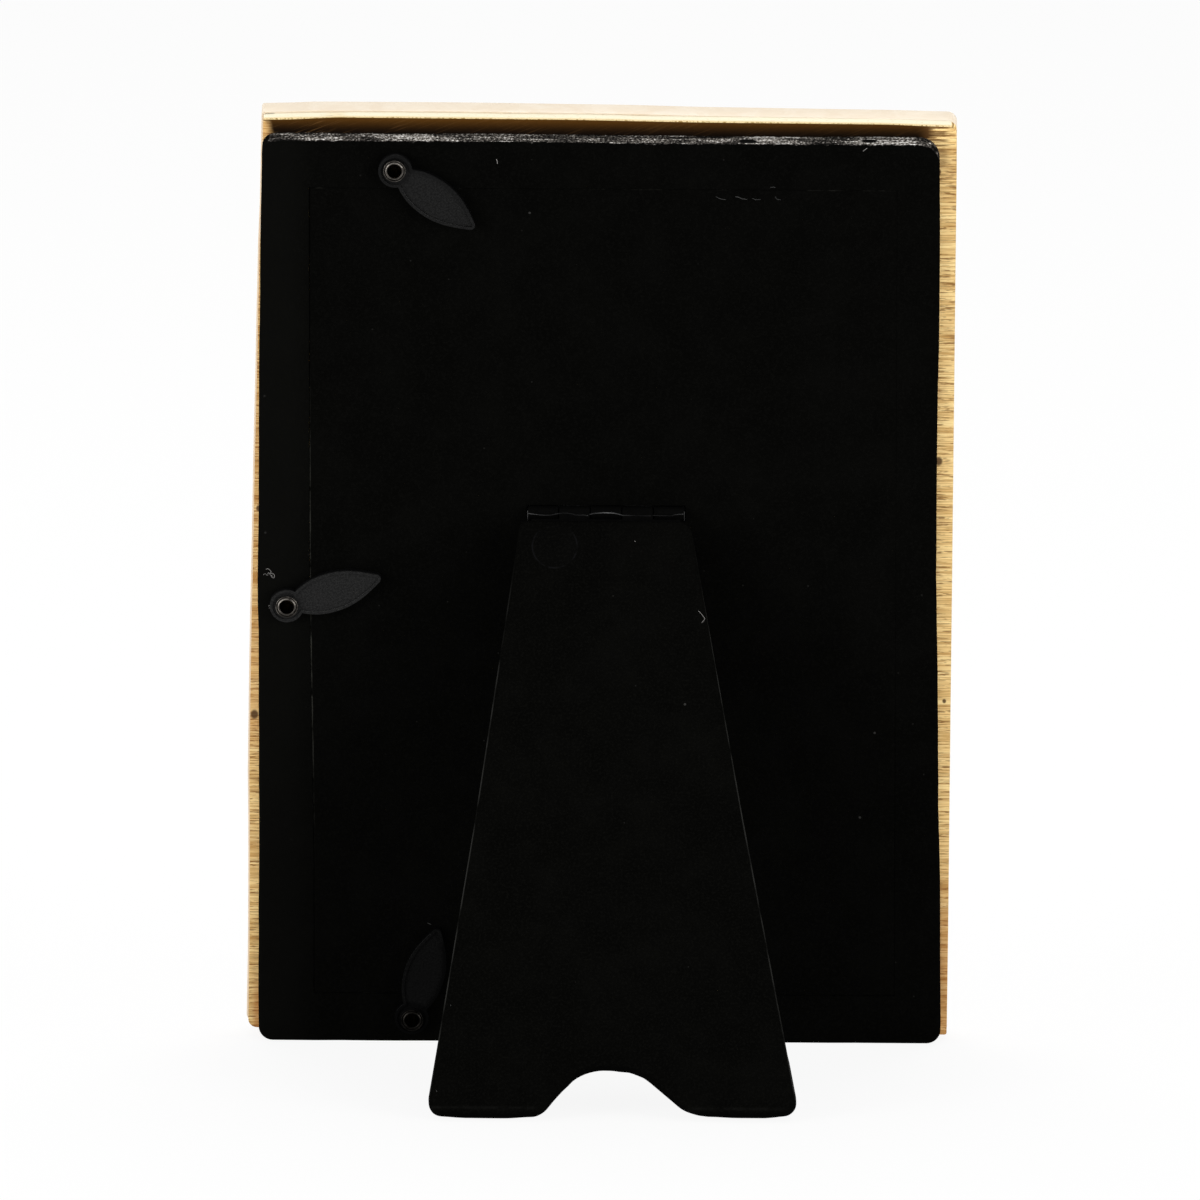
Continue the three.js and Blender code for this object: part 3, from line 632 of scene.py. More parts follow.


# The door's velvet. On the right it runs on over the seam, uncut, with a crease where the cloth is the door's
# hinge; the piece itself doesn't bend there and isn't attached to the door.
def makeDoorVelvet(finish):
    s, d = backBoard, doorCut
    gap = d["seam"] - d["lap"]
    left, foot = d["left"] + gap, d["foot"] + gap
    right, head = d["right"] - d["rightGap"], d["head"] - gap
    mesh = bmesh.new()
    middle = Matrix.Translation(((left + right) / 2, (foot + head) / 2, s["back"]))
    size = Matrix.Diagonal((right - left, head - foot, 1, 1))
    bmesh.ops.create_grid(mesh, x_segments=1, y_segments=1, size=0.5, matrix=middle @ size)
    slotLeft, slotRight, slotFoot, slotHead = d["slot"]
    sliceAt(mesh, 0, [slotLeft, slotRight])
    sliceAt(mesh, 1, [slotFoot, slotHead])
    inSlot = [f for f in mesh.faces
              if slotLeft < faceMiddle(f).x < slotRight and slotFoot < faceMiddle(f).y < slotHead]
    bmesh.ops.delete(mesh, geom=inSlot, context="FACES")
    outer, inner = d["rims"]
    sliceAt(mesh, 0, spaced(left, right, s["step"]))
    sliceAt(mesh, 1, spaced(foot, head, s["step"]))
    sliceAt(mesh, 0, [left + outer, left + inner] + [d["hingeAt"] + 0.1 * i for i in range(-3, 2)])
    sliceAt(mesh, 1, [foot + outer, foot + inner, head - inner, head - outer])
    for vert in mesh.verts:
        at = vert.co.copy()
        wander = noise.noise_vector(at / 7 + Vector((3, 3, 3)))
        if at.x < left + 0.6:
            vert.co.x += reading(d["skew"], at.y)
        if at.x < left + 0.1:
            vert.co.x += abs(wander.x) * d["raggedLeft"]
        if at.y < foot + 0.1:
            vert.co.y += abs(wander.y) * d["raggedEnds"]
        if at.y > head - 0.1:
            vert.co.y -= abs(wander.y) * d["raggedEnds"]
        edge = min(at.x - left, at.y - foot, head - at.y)
        within, depth = d["pressed"]
        vert.co.z -= max(0, 1 - edge / within) ** 2 * depth
        within, depth = d["crease"]
        vert.co.z -= max(0, 1 - abs(at.x - d["hingeAt"]) / within) * depth
    bmesh.ops.recalc_face_normals(mesh, faces=mesh.faces)
    faceUp(mesh, next(iter(mesh.faces)))
    bmesh.ops.solidify(mesh, geom=mesh.faces, thickness=s["cloth"])
    piece = finishPiece(mesh, "velvet_door", finish, onBack, None, 50)
    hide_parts("door_velvet")
    start, end = [onBack @ Vector((d["hingeAt"] + shift, s["middle"], 5)) for shift in d["bend"]]
    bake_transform(piece)
    return piece


legCloth = {
    "corners": (                       # x, y and the radius of each corner, from the arch's top to the right
        (5.3, -106.1, 10.0),
        (15.9, -115.2, 6.0),
        (36.3, -115.2, 2.4),
        (25.6, -58.85, 0.0),
        (15.5, -2.5, 2.6),
        (-15.7, -2.5, 1.5),
        (-23.5, -58.85, 0.0),
        (-32.1, -115.2, 2.4),
        (-11.0, -115.2, 3.8),
        (-3.4, -106.1, 8.0),
    ),
    "front": 0.15,
    "back": 4.15,
    "top": -2.5,
    "foot": -115.2,
    "step": 6,
    "edge": 0.6,
    "mouth": ((-14.2, 12.7), (0.8, 3.5)),      # x and z of the sleeve's open end
    "cloth": 0.45,
    "footFrom": -104,
    "footSlices": (-34, 36, 1.5),
    "waver": (
        (-32, 0.25), (-30.5, 0.05), (-24.5, -0.26), (-18, -0.3), (-12.5, 0), (-8, 0.38), (-5.8, 0.02),
        (0, -0.25), (3, -0.28), (5.9, 0.19), (8.9, 0.59), (16.5, 0.55), (20, 0.2), (25, 0), (30, 0),
        (34, 0.37), (35.5, 0.47),
    ),
}


# The leg's foot isn't cut straight.
def waverFoot(mesh):
    s = legCloth
    sliceAt(mesh, 0, spaced(*s["footSlices"]))
    sliceAt(mesh, 1, [s["footFrom"]])
    for vert in mesh.verts:
        if vert.co.y < s["footFrom"] - 0.001:
            vert.co.y += reading(s["waver"], vert.co.x)


# The velvet sleeve round the leg's board, open at its top for the hinge leaf.
def makeLegVelvet(finish):
    s = legCloth
    mesh = bmesh.new()
    loop = [(mesh.verts.new((x, y, s["front"])), radius) for x, y, radius in s["corners"]]
    mesh.faces.new([vert for vert, radius in loop])
    for vert, radius in loop:
        if radius:
            arms = [(e.other_vert(vert).co - vert.co).normalized() for e in vert.link_edges]
            turn = math.pi - arms[0].angle(arms[1])
            bmesh.ops.bevel(
                mesh,
                geom=[vert],
                offset=radius * math.tan(turn / 2),
                segments=8,
                profile=0.5,
                affect="VERTICES",
                material=-1,
            )
    outline = mesh.faces[:]
    pushed = bmesh.ops.extrude_face_region(mesh, geom=outline)["geom"]
    raised = [v for v in pushed if isinstance(v, bmesh.types.BMVert)]
    bmesh.ops.translate(mesh, verts=raised, vec=(0, 0, s["back"] - s["front"]))
    bmesh.ops.recalc_face_normals(mesh, faces=mesh.faces)
    rims = [e for e in mesh.edges if near(e.verts[0].co.z, e.verts[1].co.z)]
    roundEdges(mesh, rims, s["edge"], 4)
    (left, right), (low, high) = s["mouth"]
    sliceAt(mesh, 0, [left, right])
    mouth = [f for f in mesh.faces
             if f.normal.y > 0.99 and left < faceMiddle(f).x < right and low < faceMiddle(f).z < high]
    bmesh.ops.delete(mesh, geom=mouth, context="FACES")
    sliceAt(mesh, 1, spaced(s["foot"], s["top"], s["step"]))
    waverFoot(mesh)
    bmesh.ops.recalc_face_normals(mesh, faces=mesh.faces)
    faceUp(mesh, max(mesh.faces, key=lambda f: faceMiddle(f).z))
    bmesh.ops.solidify(mesh, geom=mesh.faces, thickness=s["cloth"])
    piece = finishPiece(mesh, "velvet_leg", finish, onLeg, "leg", 50)
    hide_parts("leg_velvet")
    return piece


surroundVelvet = makeSurroundVelvet(surroundVelvetFinish())
doorVelvet = makeDoorVelvet(doorVelvetFinish())
legVelvet = makeLegVelvet(legVelvetFinish())
print("velvet: surround, door and leg")

# The body's wooden ring. Its sides are planed, and its head was sawn by hand.
woodRing = {
    "pale": (0.94, 0.71, 0.335),
    "early": (0.84, 0.585, 0.25),
    "late": (0.52, 0.3, 0.098),
    "pore": (0.2, 0.09, 0.024),
    "dirt": (0.32, 0.16, 0.07),
    "red": (0.4, 0.12, 0.02),
    "knot": (0.07, 0.032, 0.014),
    "knots": (((-63.6, 62.4), 0.95), ((-62.8, 102.8), 0.6), ((62.3, 169.2), 0.6), ((62.5, 112.7), 0.9),
              ((61.7, 91.9), 0.55), ((63.7, 65.7), 0.45)),
    "edge": 0.08,
    "bow": ((-61, 0.05), (-55, 0.33), (-44, 0.57), (-5, 0.55), (11, 0.4), (50, 0.32), (56, 0.2), (61, 0.05)),
    "unevenness": 0.07,
    "grain": 0.00006,
}
# Its bare upper face, in the body's own coordinates
sawnHead = {
    "fresh": (0.87, 0.81, 0.62),
    "cutEdge": (0.78, 0.62, 0.34),
    "speckled": (0.42, 0.28, 0.1),
    "splinter": (0.3, 0.19, 0.06),
    "from": (88.84, 88.96),
    "bow": (0.32, 0.25),               # how far the face's edge bows up, and how much more on the left
    "crack": (0.03, 0.018, 0.008),
    "crackAt": ((-61.9, -59.9), (-5.6, -5.35)),
}
# The dark band under that face is painted shade, where the board's thick edge keeps the light off the wood.
# It fades out short of both corners, where the light reaches in. The same table holds the wood's own saw
# scratches and streaks, and a dark line under the head.
woodShadeAndStain = {
    "high": (0.12, 0.048, 0.006),
    "low": (0.005, 0.0025, 0.0011),
    "scratch": (0.155, 0.078, 0.026),
    "scratchDegrees": 21,
    "right": (0.12, 0.055, 0.016),
    "line": (0.13, 0.06, 0.016),
    "under": (0.13, 0.06, 0.02),
    "from": (175.4, 175.8),
    "leftEnd": (-60.8, -58.9),
    "rightEnd": (60.9, 58.9),
    "depth": (176.3, 181.3),
}
# How far both long sides stand out, up the body
sideBow = {
    "left": ((-69, 0.0), (-59, -0.15), (-49, -0.31), (-44, -0.39), (-39, -0.53), (-21, -0.58), (-9, -0.56),
             (6, -0.48), (21, -0.45), (42, -0.3), (62, -0.2), (72, 0), (84, 0.09)),
    "right": ((-88, 0.1), (-70, 0.17), (-30, 0.19), (0, 0.24), (50, 0.28), (84, 0.32), (88, 0.24)),
    "from": (52, 62),
}


def planedWood(finish, where, fine, pores):
    s = woodRing
    x, y = finish.parts(where)[:2]
    rings = finish.grain(finish.stretched(where, (0.05, 0.5, 0.16)), 1.0, 3.0, 0.6, 0.4)
    colour = finish.ramp(rings, (0.32, s["late"]), (0.44, s["early"]), (0.62, s["pale"]))
    colour = finish.mix(finish.rise(fine, 0.48, 0.58) * 0.75, colour, s["late"])
    colour = finish.mix(finish.rise(pores, 0.55, 0.63) * 0.78, colour, s["pore"])
    dirty = finish.grain(finish.stretched(where, (0.25, 0.12, 0.3)), 1.0, 3.0)
    colour = finish.mix(finish.rise(dirty, 0.58, 0.75) * 0.3, colour, s["dirt"])
    onLeft = finish.rise(x, -55, -58)
    red = finish.rise(x, 55, 58) * finish.rise(y, 42, 12) + onLeft * (0.12 + finish.rise(y, 50, 62) * 0.45)
    red = red + finish.rise(x, -64.3, -63.2) * onLeft * finish.rise(y, 13, 5)
    colour = finish.mix(red * 0.5, colour, s["red"])
    for (across, up), radius in s["knots"]:
        reach = finish.away(finish.stretched(where, (1, 0.8, 0)), (across, up * 0.8, 0))
        colour = finish.mix(finish.rise(reach, radius, radius * 0.5) * 0.9, colour, s["knot"])
    return colour


def freshWood(finish, where, z, speckled):
    s = sawnHead
    colour = finish.mix(finish.rise(z, -0.9, 0.1), s["fresh"], s["cutEdge"])
    colour = finish.mix(finish.rise(speckled, 0.58, 0.74) * 0.6, colour, s["speckled"])
    splintered = finish.grain(where, 2.6, 2.0, 0.7)
    return finish.mix(finish.rise(splintered, 0.52, 0.6) * finish.rise(z, -0.15, 0.2), colour, s["splinter"])


# The band's painted shade: darkest next to the velvet, lighter towards its top and its right end, over the
# wood's own saw scratches
def stainedWood(finish, where, x, y, speckled):
    s = woodShadeAndStain
    depth = finish.rise(y + x * 0.004 + speckled * 0.5, *s["depth"])
    colour = finish.mix(depth, s["low"], s["high"])
    sawn = finish.grain(finish.slanted(where, s["scratchDegrees"], (7.0, 0.2, 1)), 1.0, 1.0, 0.5)
    scratches = finish.rise(sawn, 0.6, 0.7) * (0.12 + finish.rise(x, -30, -54) * 0.3)
    colour = finish.mix(scratches, colour, s["scratch"])
    return finish.mix(finish.rise(x, 58.2, 61.0) * 0.6, colour, s["right"])


def woodFinish():
    head, shadeAndStain = sawnHead, woodShadeAndStain
    finish = Finish("bare softwood", 0.7, fixed={"Specular IOR Level": 0.03})
    where = finish.placed(onBack)
    x, y, z = finish.parts(where)
    fine = finish.grain(finish.stretched(where, (0.13, 4.4, 0.6)), 1.0, 1.0, 0.5, 0.1)
    pores = finish.grain(finish.stretched(where, (0.3, 3.3, 1.6)), 1.0, 2.0, 0.65, 0.2)
    speckled = finish.grain(finish.stretched(where, (0.9, 1, 1.2)), 1.6, 4.0, 0.7)
    colour = planedWood(finish, where, fine, pores)

    across, up = finish.parts(finish.placed(onBody))[:2]
    ends = finish.rise(across, -61, -48) * finish.rise(across, 62, 50)
    bow = ends * (head["bow"][0] + finish.rise(across, 20, -10) * head["bow"][1])
    upper = finish.rise(up - bow, *head["from"])
    colour = finish.mix(upper, colour, freshWood(finish, where, z, speckled))

    below = 1 - upper
    ragged = finish.grain(finish.stretched(where, (0.3, 0.3, 0)), 1.0, 3.0) * 1.4
    lines = finish.grain(finish.stretched(where, (0.07, 1.9, 0)), 1.0, 1.0, 0.5, 0.3)
    streaky = finish.rise(lines, 0.45, 0.52) * finish.rise(y, 164, 177) * finish.rise(x, 64.8, 63)
    colour = finish.mix(streaky * finish.rise(x, 57, 59) * below * 0.85, colour, shadeAndStain["line"])
    under = finish.between(up - bow, 88.62, 88.82, 0.06) * (finish.rise(x, -59, -61) + finish.rise(x, 58, 60))
    colour = finish.mix(under * finish.rise(ragged, 0.4, 0.75) * 0.8, colour, shadeAndStain["under"])
    # Painted shade across the back face's top strip, fading out towards both corners
    leftEnd = finish.rise(x + ragged + (y - 176) * 0.25, *shadeAndStain["leftEnd"])
    rightEnd = finish.rise(x - ragged * 0.5 - lines * 2, *shadeAndStain["rightEnd"])
    shadedBand = finish.rise(y, *shadeAndStain["from"]) * below * finish.rise(z, -0.25, 0.05) * leftEnd * rightEnd
    colour = finish.mix(shadedBand, colour, stainedWood(finish, where, x, y, speckled))

    alongCrack, downCrack = head["crackAt"]
    crack = finish.between(x, *alongCrack, 0.3) * finish.between(z + x * 0.05, *downCrack, 0.1)
    colour = finish.mix(crack * upper, colour, head["crack"])
    finish.put("Base Color", colour)
    finish.bump(fine * 0.6 + pores * 0.4, woodRing["grain"], 0.5)
    return finish


# The facing on the body's front, cast in a cream resin
resinRing = {
    "colour": (0.72, 0.6, 0.44),
    "pale": (0.78, 0.69, 0.55),
    "vein": (0.7, 0.55, 0.4),
    "edge": 0.25,
    "bow": ((-62, 0.1), (-52, 0.5), (-27, 0.6), (0, 0.5), (22, 0.2), (50, 0.05), (63, -0.15)),
    "unevenness": 0.0,
}


def resinFinish():
    s = resinRing
    finish = Finish("cast resin", 0.36, fixed={"Coat Weight": 0.12, "Coat Roughness": 0.15})
    where = finish.placed(onBody)
    cloudy = finish.grain(where, 0.16, 4.0, 0.6, 1.2)
    veins = finish.grain(finish.stretched(where, (0.05, 0.11, 0.3)), 1.0, 5.0, 0.6, 2.0)
    colour = finish.mix(finish.rise(cloudy, 0.35, 0.7) * 0.7, s["colour"], s["pale"])
    colour = finish.mix(finish.between(veins, 0.49, 0.52, 0.02) * 0.25, colour, s["vein"])
    finish.put("Base Color", colour)
    pits = finish.cells(where, 0.9)
    finish.put("Roughness", 0.26 + cloudy * 0.14)
    finish.bump(cloudy * 0.8 + finish.rise(pits, 0.1, 0.02) * -0.4, 0.00012, 0.35)
    return finish


# A CAD node's own shape with softened edges, bent a little where the real one is.
def dressed(node, finish, place, width, segments, body, bent):
    mesh = softened(node, place, width, segments)
    bent(mesh)
    piece = finishPiece(mesh, node + "_shown", finish, place, body, 40)
    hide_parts(node)
    return piece


# The head and the long sides bow out a little, and the head was sawn by hand.
def bowed(ring):
    def bend(mesh):
        bmesh.ops.triangulate(mesh, faces=mesh.faces)
        sliceAt(mesh, 0, spaced(-62, 62, 4))
        sliceAt(mesh, 1, spaced(-87, 87, 8))
        low, high = sideBow["from"]
        for vert in mesh.verts:
            x, y = vert.co.xy
            if y > 85:
                vert.co.y += reading(ring["bow"], x) + noise.noise(vert.co * 0.2) * ring["unevenness"]
            share = min(1, max(0, (abs(x) - low) / (high - low)))
            vert.co.x += reading(sideBow["left" if x < 0 else "right"], y) * share
    return bend


dressed("wood_body", woodFinish(), onBody, woodRing["edge"], 2, "frame_body",
        bowed(woodRing))
dressed("resin_face", resinFinish(), onBody, resinRing["edge"], 3, "frame_body",
        bowed(resinRing))
print("body: wood and resin")

# The insert and the boards keep the CAD's own solids, the leg's board but for its foot.
insert = {
    "glass": (0.94, 0.98, 0.96, 1),
    "paper": (0.84, 0.83, 0.79),
    "printedFrom": (-2.2, -2.28),
    "sky": ((0.05, (0.2, 0.25, 0.24)), (0.42, (0.42, 0.47, 0.45)), (0.5, (0.72, 0.72, 0.68)),
            (0.98, (0.36, 0.47, 0.58))),
    "ripple": (0.62, 0.66, 0.63),
    "card": ((0.36, (0.16, 0.15, 0.13)), (0.5, (0.27, 0.255, 0.22)), (0.68, (0.38, 0.36, 0.32))),
    "lining": ((0.008, 0.008, 0.008), (0.022, 0.021, 0.02)),
}
boards = {
    "fibres": ((0.3, (0.1, 0.05, 0.022)), (0.52, (0.26, 0.15, 0.075)), (0.72, (0.42, 0.28, 0.16))),
    "seam": (0.002, 0.002, 0.002),
    "shadedFrom": (2.2, 2.7),                    # the cut under the velvet is painted black, as the shade down the narrow seams
}


def glassFinish():
    return Finish("glazing", 0.02, fixed={
        "Base Color": insert["glass"],
        "Transmission Weight": 1.0,
        "IOR": 1.45,
    })


# A soft sky over water, on the sheet's front only
def printFinish():
    s = insert
    finish = Finish("photographic print", 0.32, fixed={"Coat Weight": 0.25, "Coat Roughness": 0.1})
    where = finish.placed(onBody)
    y, z = finish.parts(where)[1:]
    drift = finish.grain(where, 0.02, 3.0, 0.5)
    height = y * 0.0061 + 0.5 + drift * 0.16
    ripples = finish.grain(finish.stretched(where, (0.03, 0.3, 0)), 1.0, 3.0, 0.5)
    rippled = finish.rise(height, 0.44, 0.4) * finish.rise(ripples, 0.5, 0.66) * 0.5
    sky = finish.mix(rippled, finish.ramp(height, *s["sky"]), s["ripple"])
    finish.put("Base Color", finish.mix(finish.rise(z, *s["printedFrom"]), s["paper"], sky))
    return finish


def fibreboardFinish():
    finish = Finish("fibreboard", 0.85)
    where = finish.placed(onBack)
    tufts = finish.grain(where, 1.4, 5.0, 0.7)
    felt = finish.grain(where, 0.2, 3.0, 0.5)
    colour = finish.ramp(tufts * 0.7 + felt * 0.3, *boards["fibres"])
    # Painted shade: black near the velvet, where the seams are deep and narrow
    depth = finish.rise(finish.parts(where)[2], *boards["shadedFrom"])
    finish.put("Base Color", finish.mix(depth, colour, boards["seam"]))
    finish.bump(tufts, 0.0001, 0.7)
    return finish


def liningFinish():
    finish = Finish("lining paper", 0.88)
    laid = finish.grain(finish.stretched(finish.placed(onBack), (3.0, 0.7, 1)), 1.0, 4.0, 0.6)
    finish.put("Base Color", finish.mix(laid, *insert["lining"]))
    finish.bump(laid, 0.00005, 0.6)
    return finish


def cardFinish():
    finish = Finish("grey card", 0.9)
    where = finish.placed(onBody)
    flecks = finish.grain(where, 2.5, 4.0, 0.75)
    broad = finish.grain(where, 0.1, 2.0)
    finish.put("Base Color", finish.ramp(flecks * 0.7 + broad * 0.3, *insert["card"]))
    finish.bump(flecks, 0.00005, 0.5)
    return finish


def steelFinish(name, base, dirt, roughness, metallic):
    finish = Finish(name, roughness, metallic, {"Specular IOR Level": 0.01})
    where = finish.placed(onBack)
    cloudy = finish.grain(where, 0.9, 4.0, 0.65)
    fine = finish.grain(where, 6.0, 3.0, 0.6)
    tarnish = finish.rise(cloudy * 0.7 + fine * 0.3, 0.42, 0.66)
    finish.put("Base Color", finish.mix(tarnish, base, dirt))
    finish.put("Roughness", roughness + tarnish * 0.25)
    finish.bump(fine, 0.00003, 0.4)
    return finish


plated = steelFinish("dull nickel plate", (0.5, 0.47, 0.42), (0.12, 0.105, 0.09), 0.24, 1.0)
lacquered = steelFinish("black lacquered steel", (0.0017, 0.0017, 0.0016), (0.0012, 0.0012, 0.0011), 0.5, 0.0)


# Nodes that keep the CAD's mesh
def givePlain(finish, *nodes):
    for node in nodes:
        piece = frame["nodes"][node]
        piece.data.materials.clear()
        piece.data.materials.append(finish.material)


fibreboard = fibreboardFinish()
givePlain(fibreboard, "surround_board", "door_board")
dressed("leg_board", fibreboard, onLeg, 0, 0, "leg", waverFoot)
givePlain(glassFinish(), "glass_pane")
givePlain(printFinish(), "photo_print")
givePlain(cardFinish(), "backing_card")
givePlain(liningFinish(), "door_lining")
givePlain(lacquered, "hinge_door_leaf", "hinge_leg_leaf", "hinge_pin")
givePlain(plated, "door_rivet_left", "door_rivet_right", "leg_rivet_left", "leg_rivet_right")
print("insert, boards and hinge")

# The three moulded turn buttons, each on its eyelet
turnButton = {
    "edge": 0.14,
    "colour": (0.0063, 0.0063, 0.0063),
    "rubbed": (0.0136, 0.0136, 0.0134),
    # The next colour is painted shade on the walls, the collar and the rim's far side; then a painted
    # highlight on the lit edge, and the dark end of each button's painted shade.
    "paintedShade": (0.0016, 0.0016, 0.0017),
    "worn": (0.12, 0.12, 0.118),
    "dull": (0.0008, 0.0008, 0.0008),
    "face": 6.8,
    "collarRadii": (3.6, 3.1),
    "pebble": 0.00006,
    "places": {"top": (-37.7, 171.5), "side": (-57.5, 86.1), "bottom": (-34.4, 5.0)},
    "degrees": {"top": -36.8, "side": 18.1, "bottom": 73.5},
    "shade": {"top": 0.58, "side": 0.82, "bottom": 0.25},     # painted shade: how much darker each one is drawn, the bottom one most
    "collar": {"top": 0.5, "side": 0.05, "bottom": 0.85},     # how much darker its collar is: painted shade round the eyelet
    "upper": {"top": 0.4, "side": 0.0, "bottom": 0.9},        # and its rim on the side away from the light: painted shade
    "lit": {"top": 1, "side": 1, "bottom": -1},               # the edge with a painted highlight, below or above
    "fitted": {"top": (0.2, -0.4, -0.3), "side": (0.0, 0.0, 0.0), "bottom": (-0.1, 0.25, 1.0)},
    "larger": 1.01,
    "held": (1.9, 2.4),                                       # round its hole it isn't moved
}


def buttonFinish(name):
    s, face = turnButton, turnButton["face"]
    shade = s["shade"][name]
    finish = Finish("black moulding " + name, 0.5, fixed={"Specular IOR Level": 0.1 * shade})
    where = finish.placed(onBack)
    x, y, z = finish.parts(where)
    pebbles = finish.grain(where, 2.8, 2.0, 0.6)
    colour = finish.mix(finish.rise(pebbles, 0.4, 0.6), s["colour"], s["rubbed"])
    along = math.radians(s["degrees"][name])
    across, up = s["places"][name]
    low = ((x - across) * math.sin(along) - (y - up) * math.cos(along)) * s["lit"][name]
    rim = finish.rise(z, face + 0.1, face + 0.2)
    # Painted shade on the rim's side away from the light
    colour = finish.mix(rim * finish.rise(low, -0.6, -1.6) * s["upper"][name], colour, s["paintedShade"])
    # A painted highlight along the lit outer edge
    edge = rim * finish.rise(z, face + 0.3, face + 0.24) * finish.rise(low, 1.2, 2.2)
    colour = finish.mix(edge * 0.8, colour, s["worn"])
    # Painted shade on the collar round the eyelet and on the walls below the face
    reach = finish.away(where, (across, up, face))
    collar = finish.rise(reach, *s["collarRadii"]) * s["collar"][name]
    paintedShade = finish.rise(z, face - 0.05, face - 0.2)
    colour = finish.mix(collar + paintedShade, colour, s["paintedShade"])
    # Each button is drawn darker by its painted shade
    finish.put("Base Color", finish.mix(shade, s["dull"], colour))
    finish.put("Roughness", 0.52 - rim * 0.14)
    sunk = finish.rise(z, face + 0.16, face + 0.05)
    finish.bump(pebbles * sunk, s["pebble"], 0.5)
    return finish


# Set as the photograph shows each one: shifted and turned a little, but for the hole round its eyelet.
def fittedButton(name):
    x, y = turnButton["places"][name]
    dx, dy, turn = turnButton["fitted"][name]
    size = turnButton["larger"]
    low, high = turnButton["held"]

    def fit(mesh):
        place = Matrix.Translation((x + dx, y + dy, 0)) @ Matrix.Rotation(math.radians(turn), 4, "Z")
        place = place @ Matrix.Diagonal((size, size, 1, 1)) @ Matrix.Translation((-x, -y, 0))
        for vert in mesh.verts:
            reach = math.hypot(vert.co.x - x, vert.co.y - y)
            share = min(1, max(0, (reach - low) / (high - low)))
            vert.co = vert.co.lerp(place @ vert.co, share)
    return fit


for name in turnButton["places"]:
    dressed("turn_button_" + name, buttonFinish(name), onBack, turnButton["edge"], 2, "button_" + name,
            fittedButton(name))
print("turn buttons")

# Each eyelet is one section, from its bore round the rolled end: radius and depth.
eyeletRing = {
    "section": (
        (1.2, 0.4), (2.05, 0.4), (2.05, 0.85), (1.38, 0.85), (1.38, 7.35), (1.9, 7.36), (2.03, 7.42),
        (2.08, 7.52), (2.03, 7.61), (1.94, 7.63), (1.86, 7.57), (1.8, 7.5), (1.73, 7.51), (1.66, 7.62),
        (1.56, 7.72), (1.44, 7.73), (1.34, 7.66), (1.27, 7.52), (1.22, 7.2), (1.2, 6.6),
    ),
    "steps": 56,
    "bead": (1.5, 1.68, 0.06),         # the brighter rings, rubbed plating and painted highlights: from, to and softness
    "lip": (1.94, 2.04, 0.04),
    "groove": (1.74, 1.9, 0.05),
    "bore": (1.36, 1.28),
    "boreDepth": (7.2, 6.9),
    "bright": (0.17, 0.157, 0.14),
    "dull": (0.03, 0.027, 0.024),
    "black": (0.003, 0.0027, 0.0024),
    # painted shade: how far each eyelet is drawn towards black
    "shade": {"top": 1.0, "side": 1.0, "bottom": 0.1},
}


# Plated, and brighter where the roll is rubbed and as painted highlights on its crests, blackened in its
# groove, with painted shade down the bore.
def eyeletFinish(name, at):
    s = eyeletRing
    finish = Finish("eyelet " + name, 0.3, 1.0)
    where = finish.placed(onBack)
    x, y, z = finish.parts(where)
    flat = finish.node("ShaderNodeCombineXYZ", None, {0: x, 1: y})
    reach = finish.away(flat, (at[0], at[1], 0))
    cloudy = finish.grain(where, 0.8, 4.0, 0.7)
    # Brighter rings: rubbed plating, and painted highlights on the roll's crests
    bead = finish.between(reach, *s["bead"]) * finish.rise(cloudy, 0.34, 0.6)
    lip = finish.between(reach, *s["lip"]) * finish.rise(cloudy, 0.46, 0.6)
    colour = finish.mix(bead + lip * 0.7, s["dull"], s["bright"])
    groove = finish.between(reach, *s["groove"])
    # Painted shade down the bore
    bore = finish.rise(reach, *s["bore"]) + finish.rise(z, *s["boreDepth"])
    colour = finish.mix(groove * 0.9 + bore, colour, s["black"])
    # The bottom eyelet is drawn nearly black, as painted shade
    finish.put("Base Color", finish.mix(s["shade"][name], s["black"], colour))
    finish.put("Roughness", 0.26 + cloudy * 0.2)
    finish.bump(finish.grain(where, 5.0, 3.0), 0.00004, 0.6)
    return finish


def makeEyelet(name, at):
    mesh = bmesh.new()
    x, y = at
    verts = [mesh.verts.new((x + radius, y, depth)) for radius, depth in eyeletRing["section"]]
    edges = [mesh.edges.new((verts[i], verts[(i + 1) % len(verts)])) for i in range(len(verts))]
    bmesh.ops.spin(
        mesh,
        geom=verts + edges,
        cent=(x, y, 0),
        axis=(0, 0, 1),
        angle=2 * math.pi,
        steps=eyeletRing["steps"],
        use_merge=True,
    )
    finish = eyeletFinish(name, at)
    piece = finishPiece(mesh, "eyelet_" + name + "_shown", finish, onBack, "frame_body", 60)
    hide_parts("eyelet_" + name)
    return piece


for name, at in zip(turnButton["places"], backBoard["eyelets"]):
    makeEyelet(name, at)
print("eyelets")

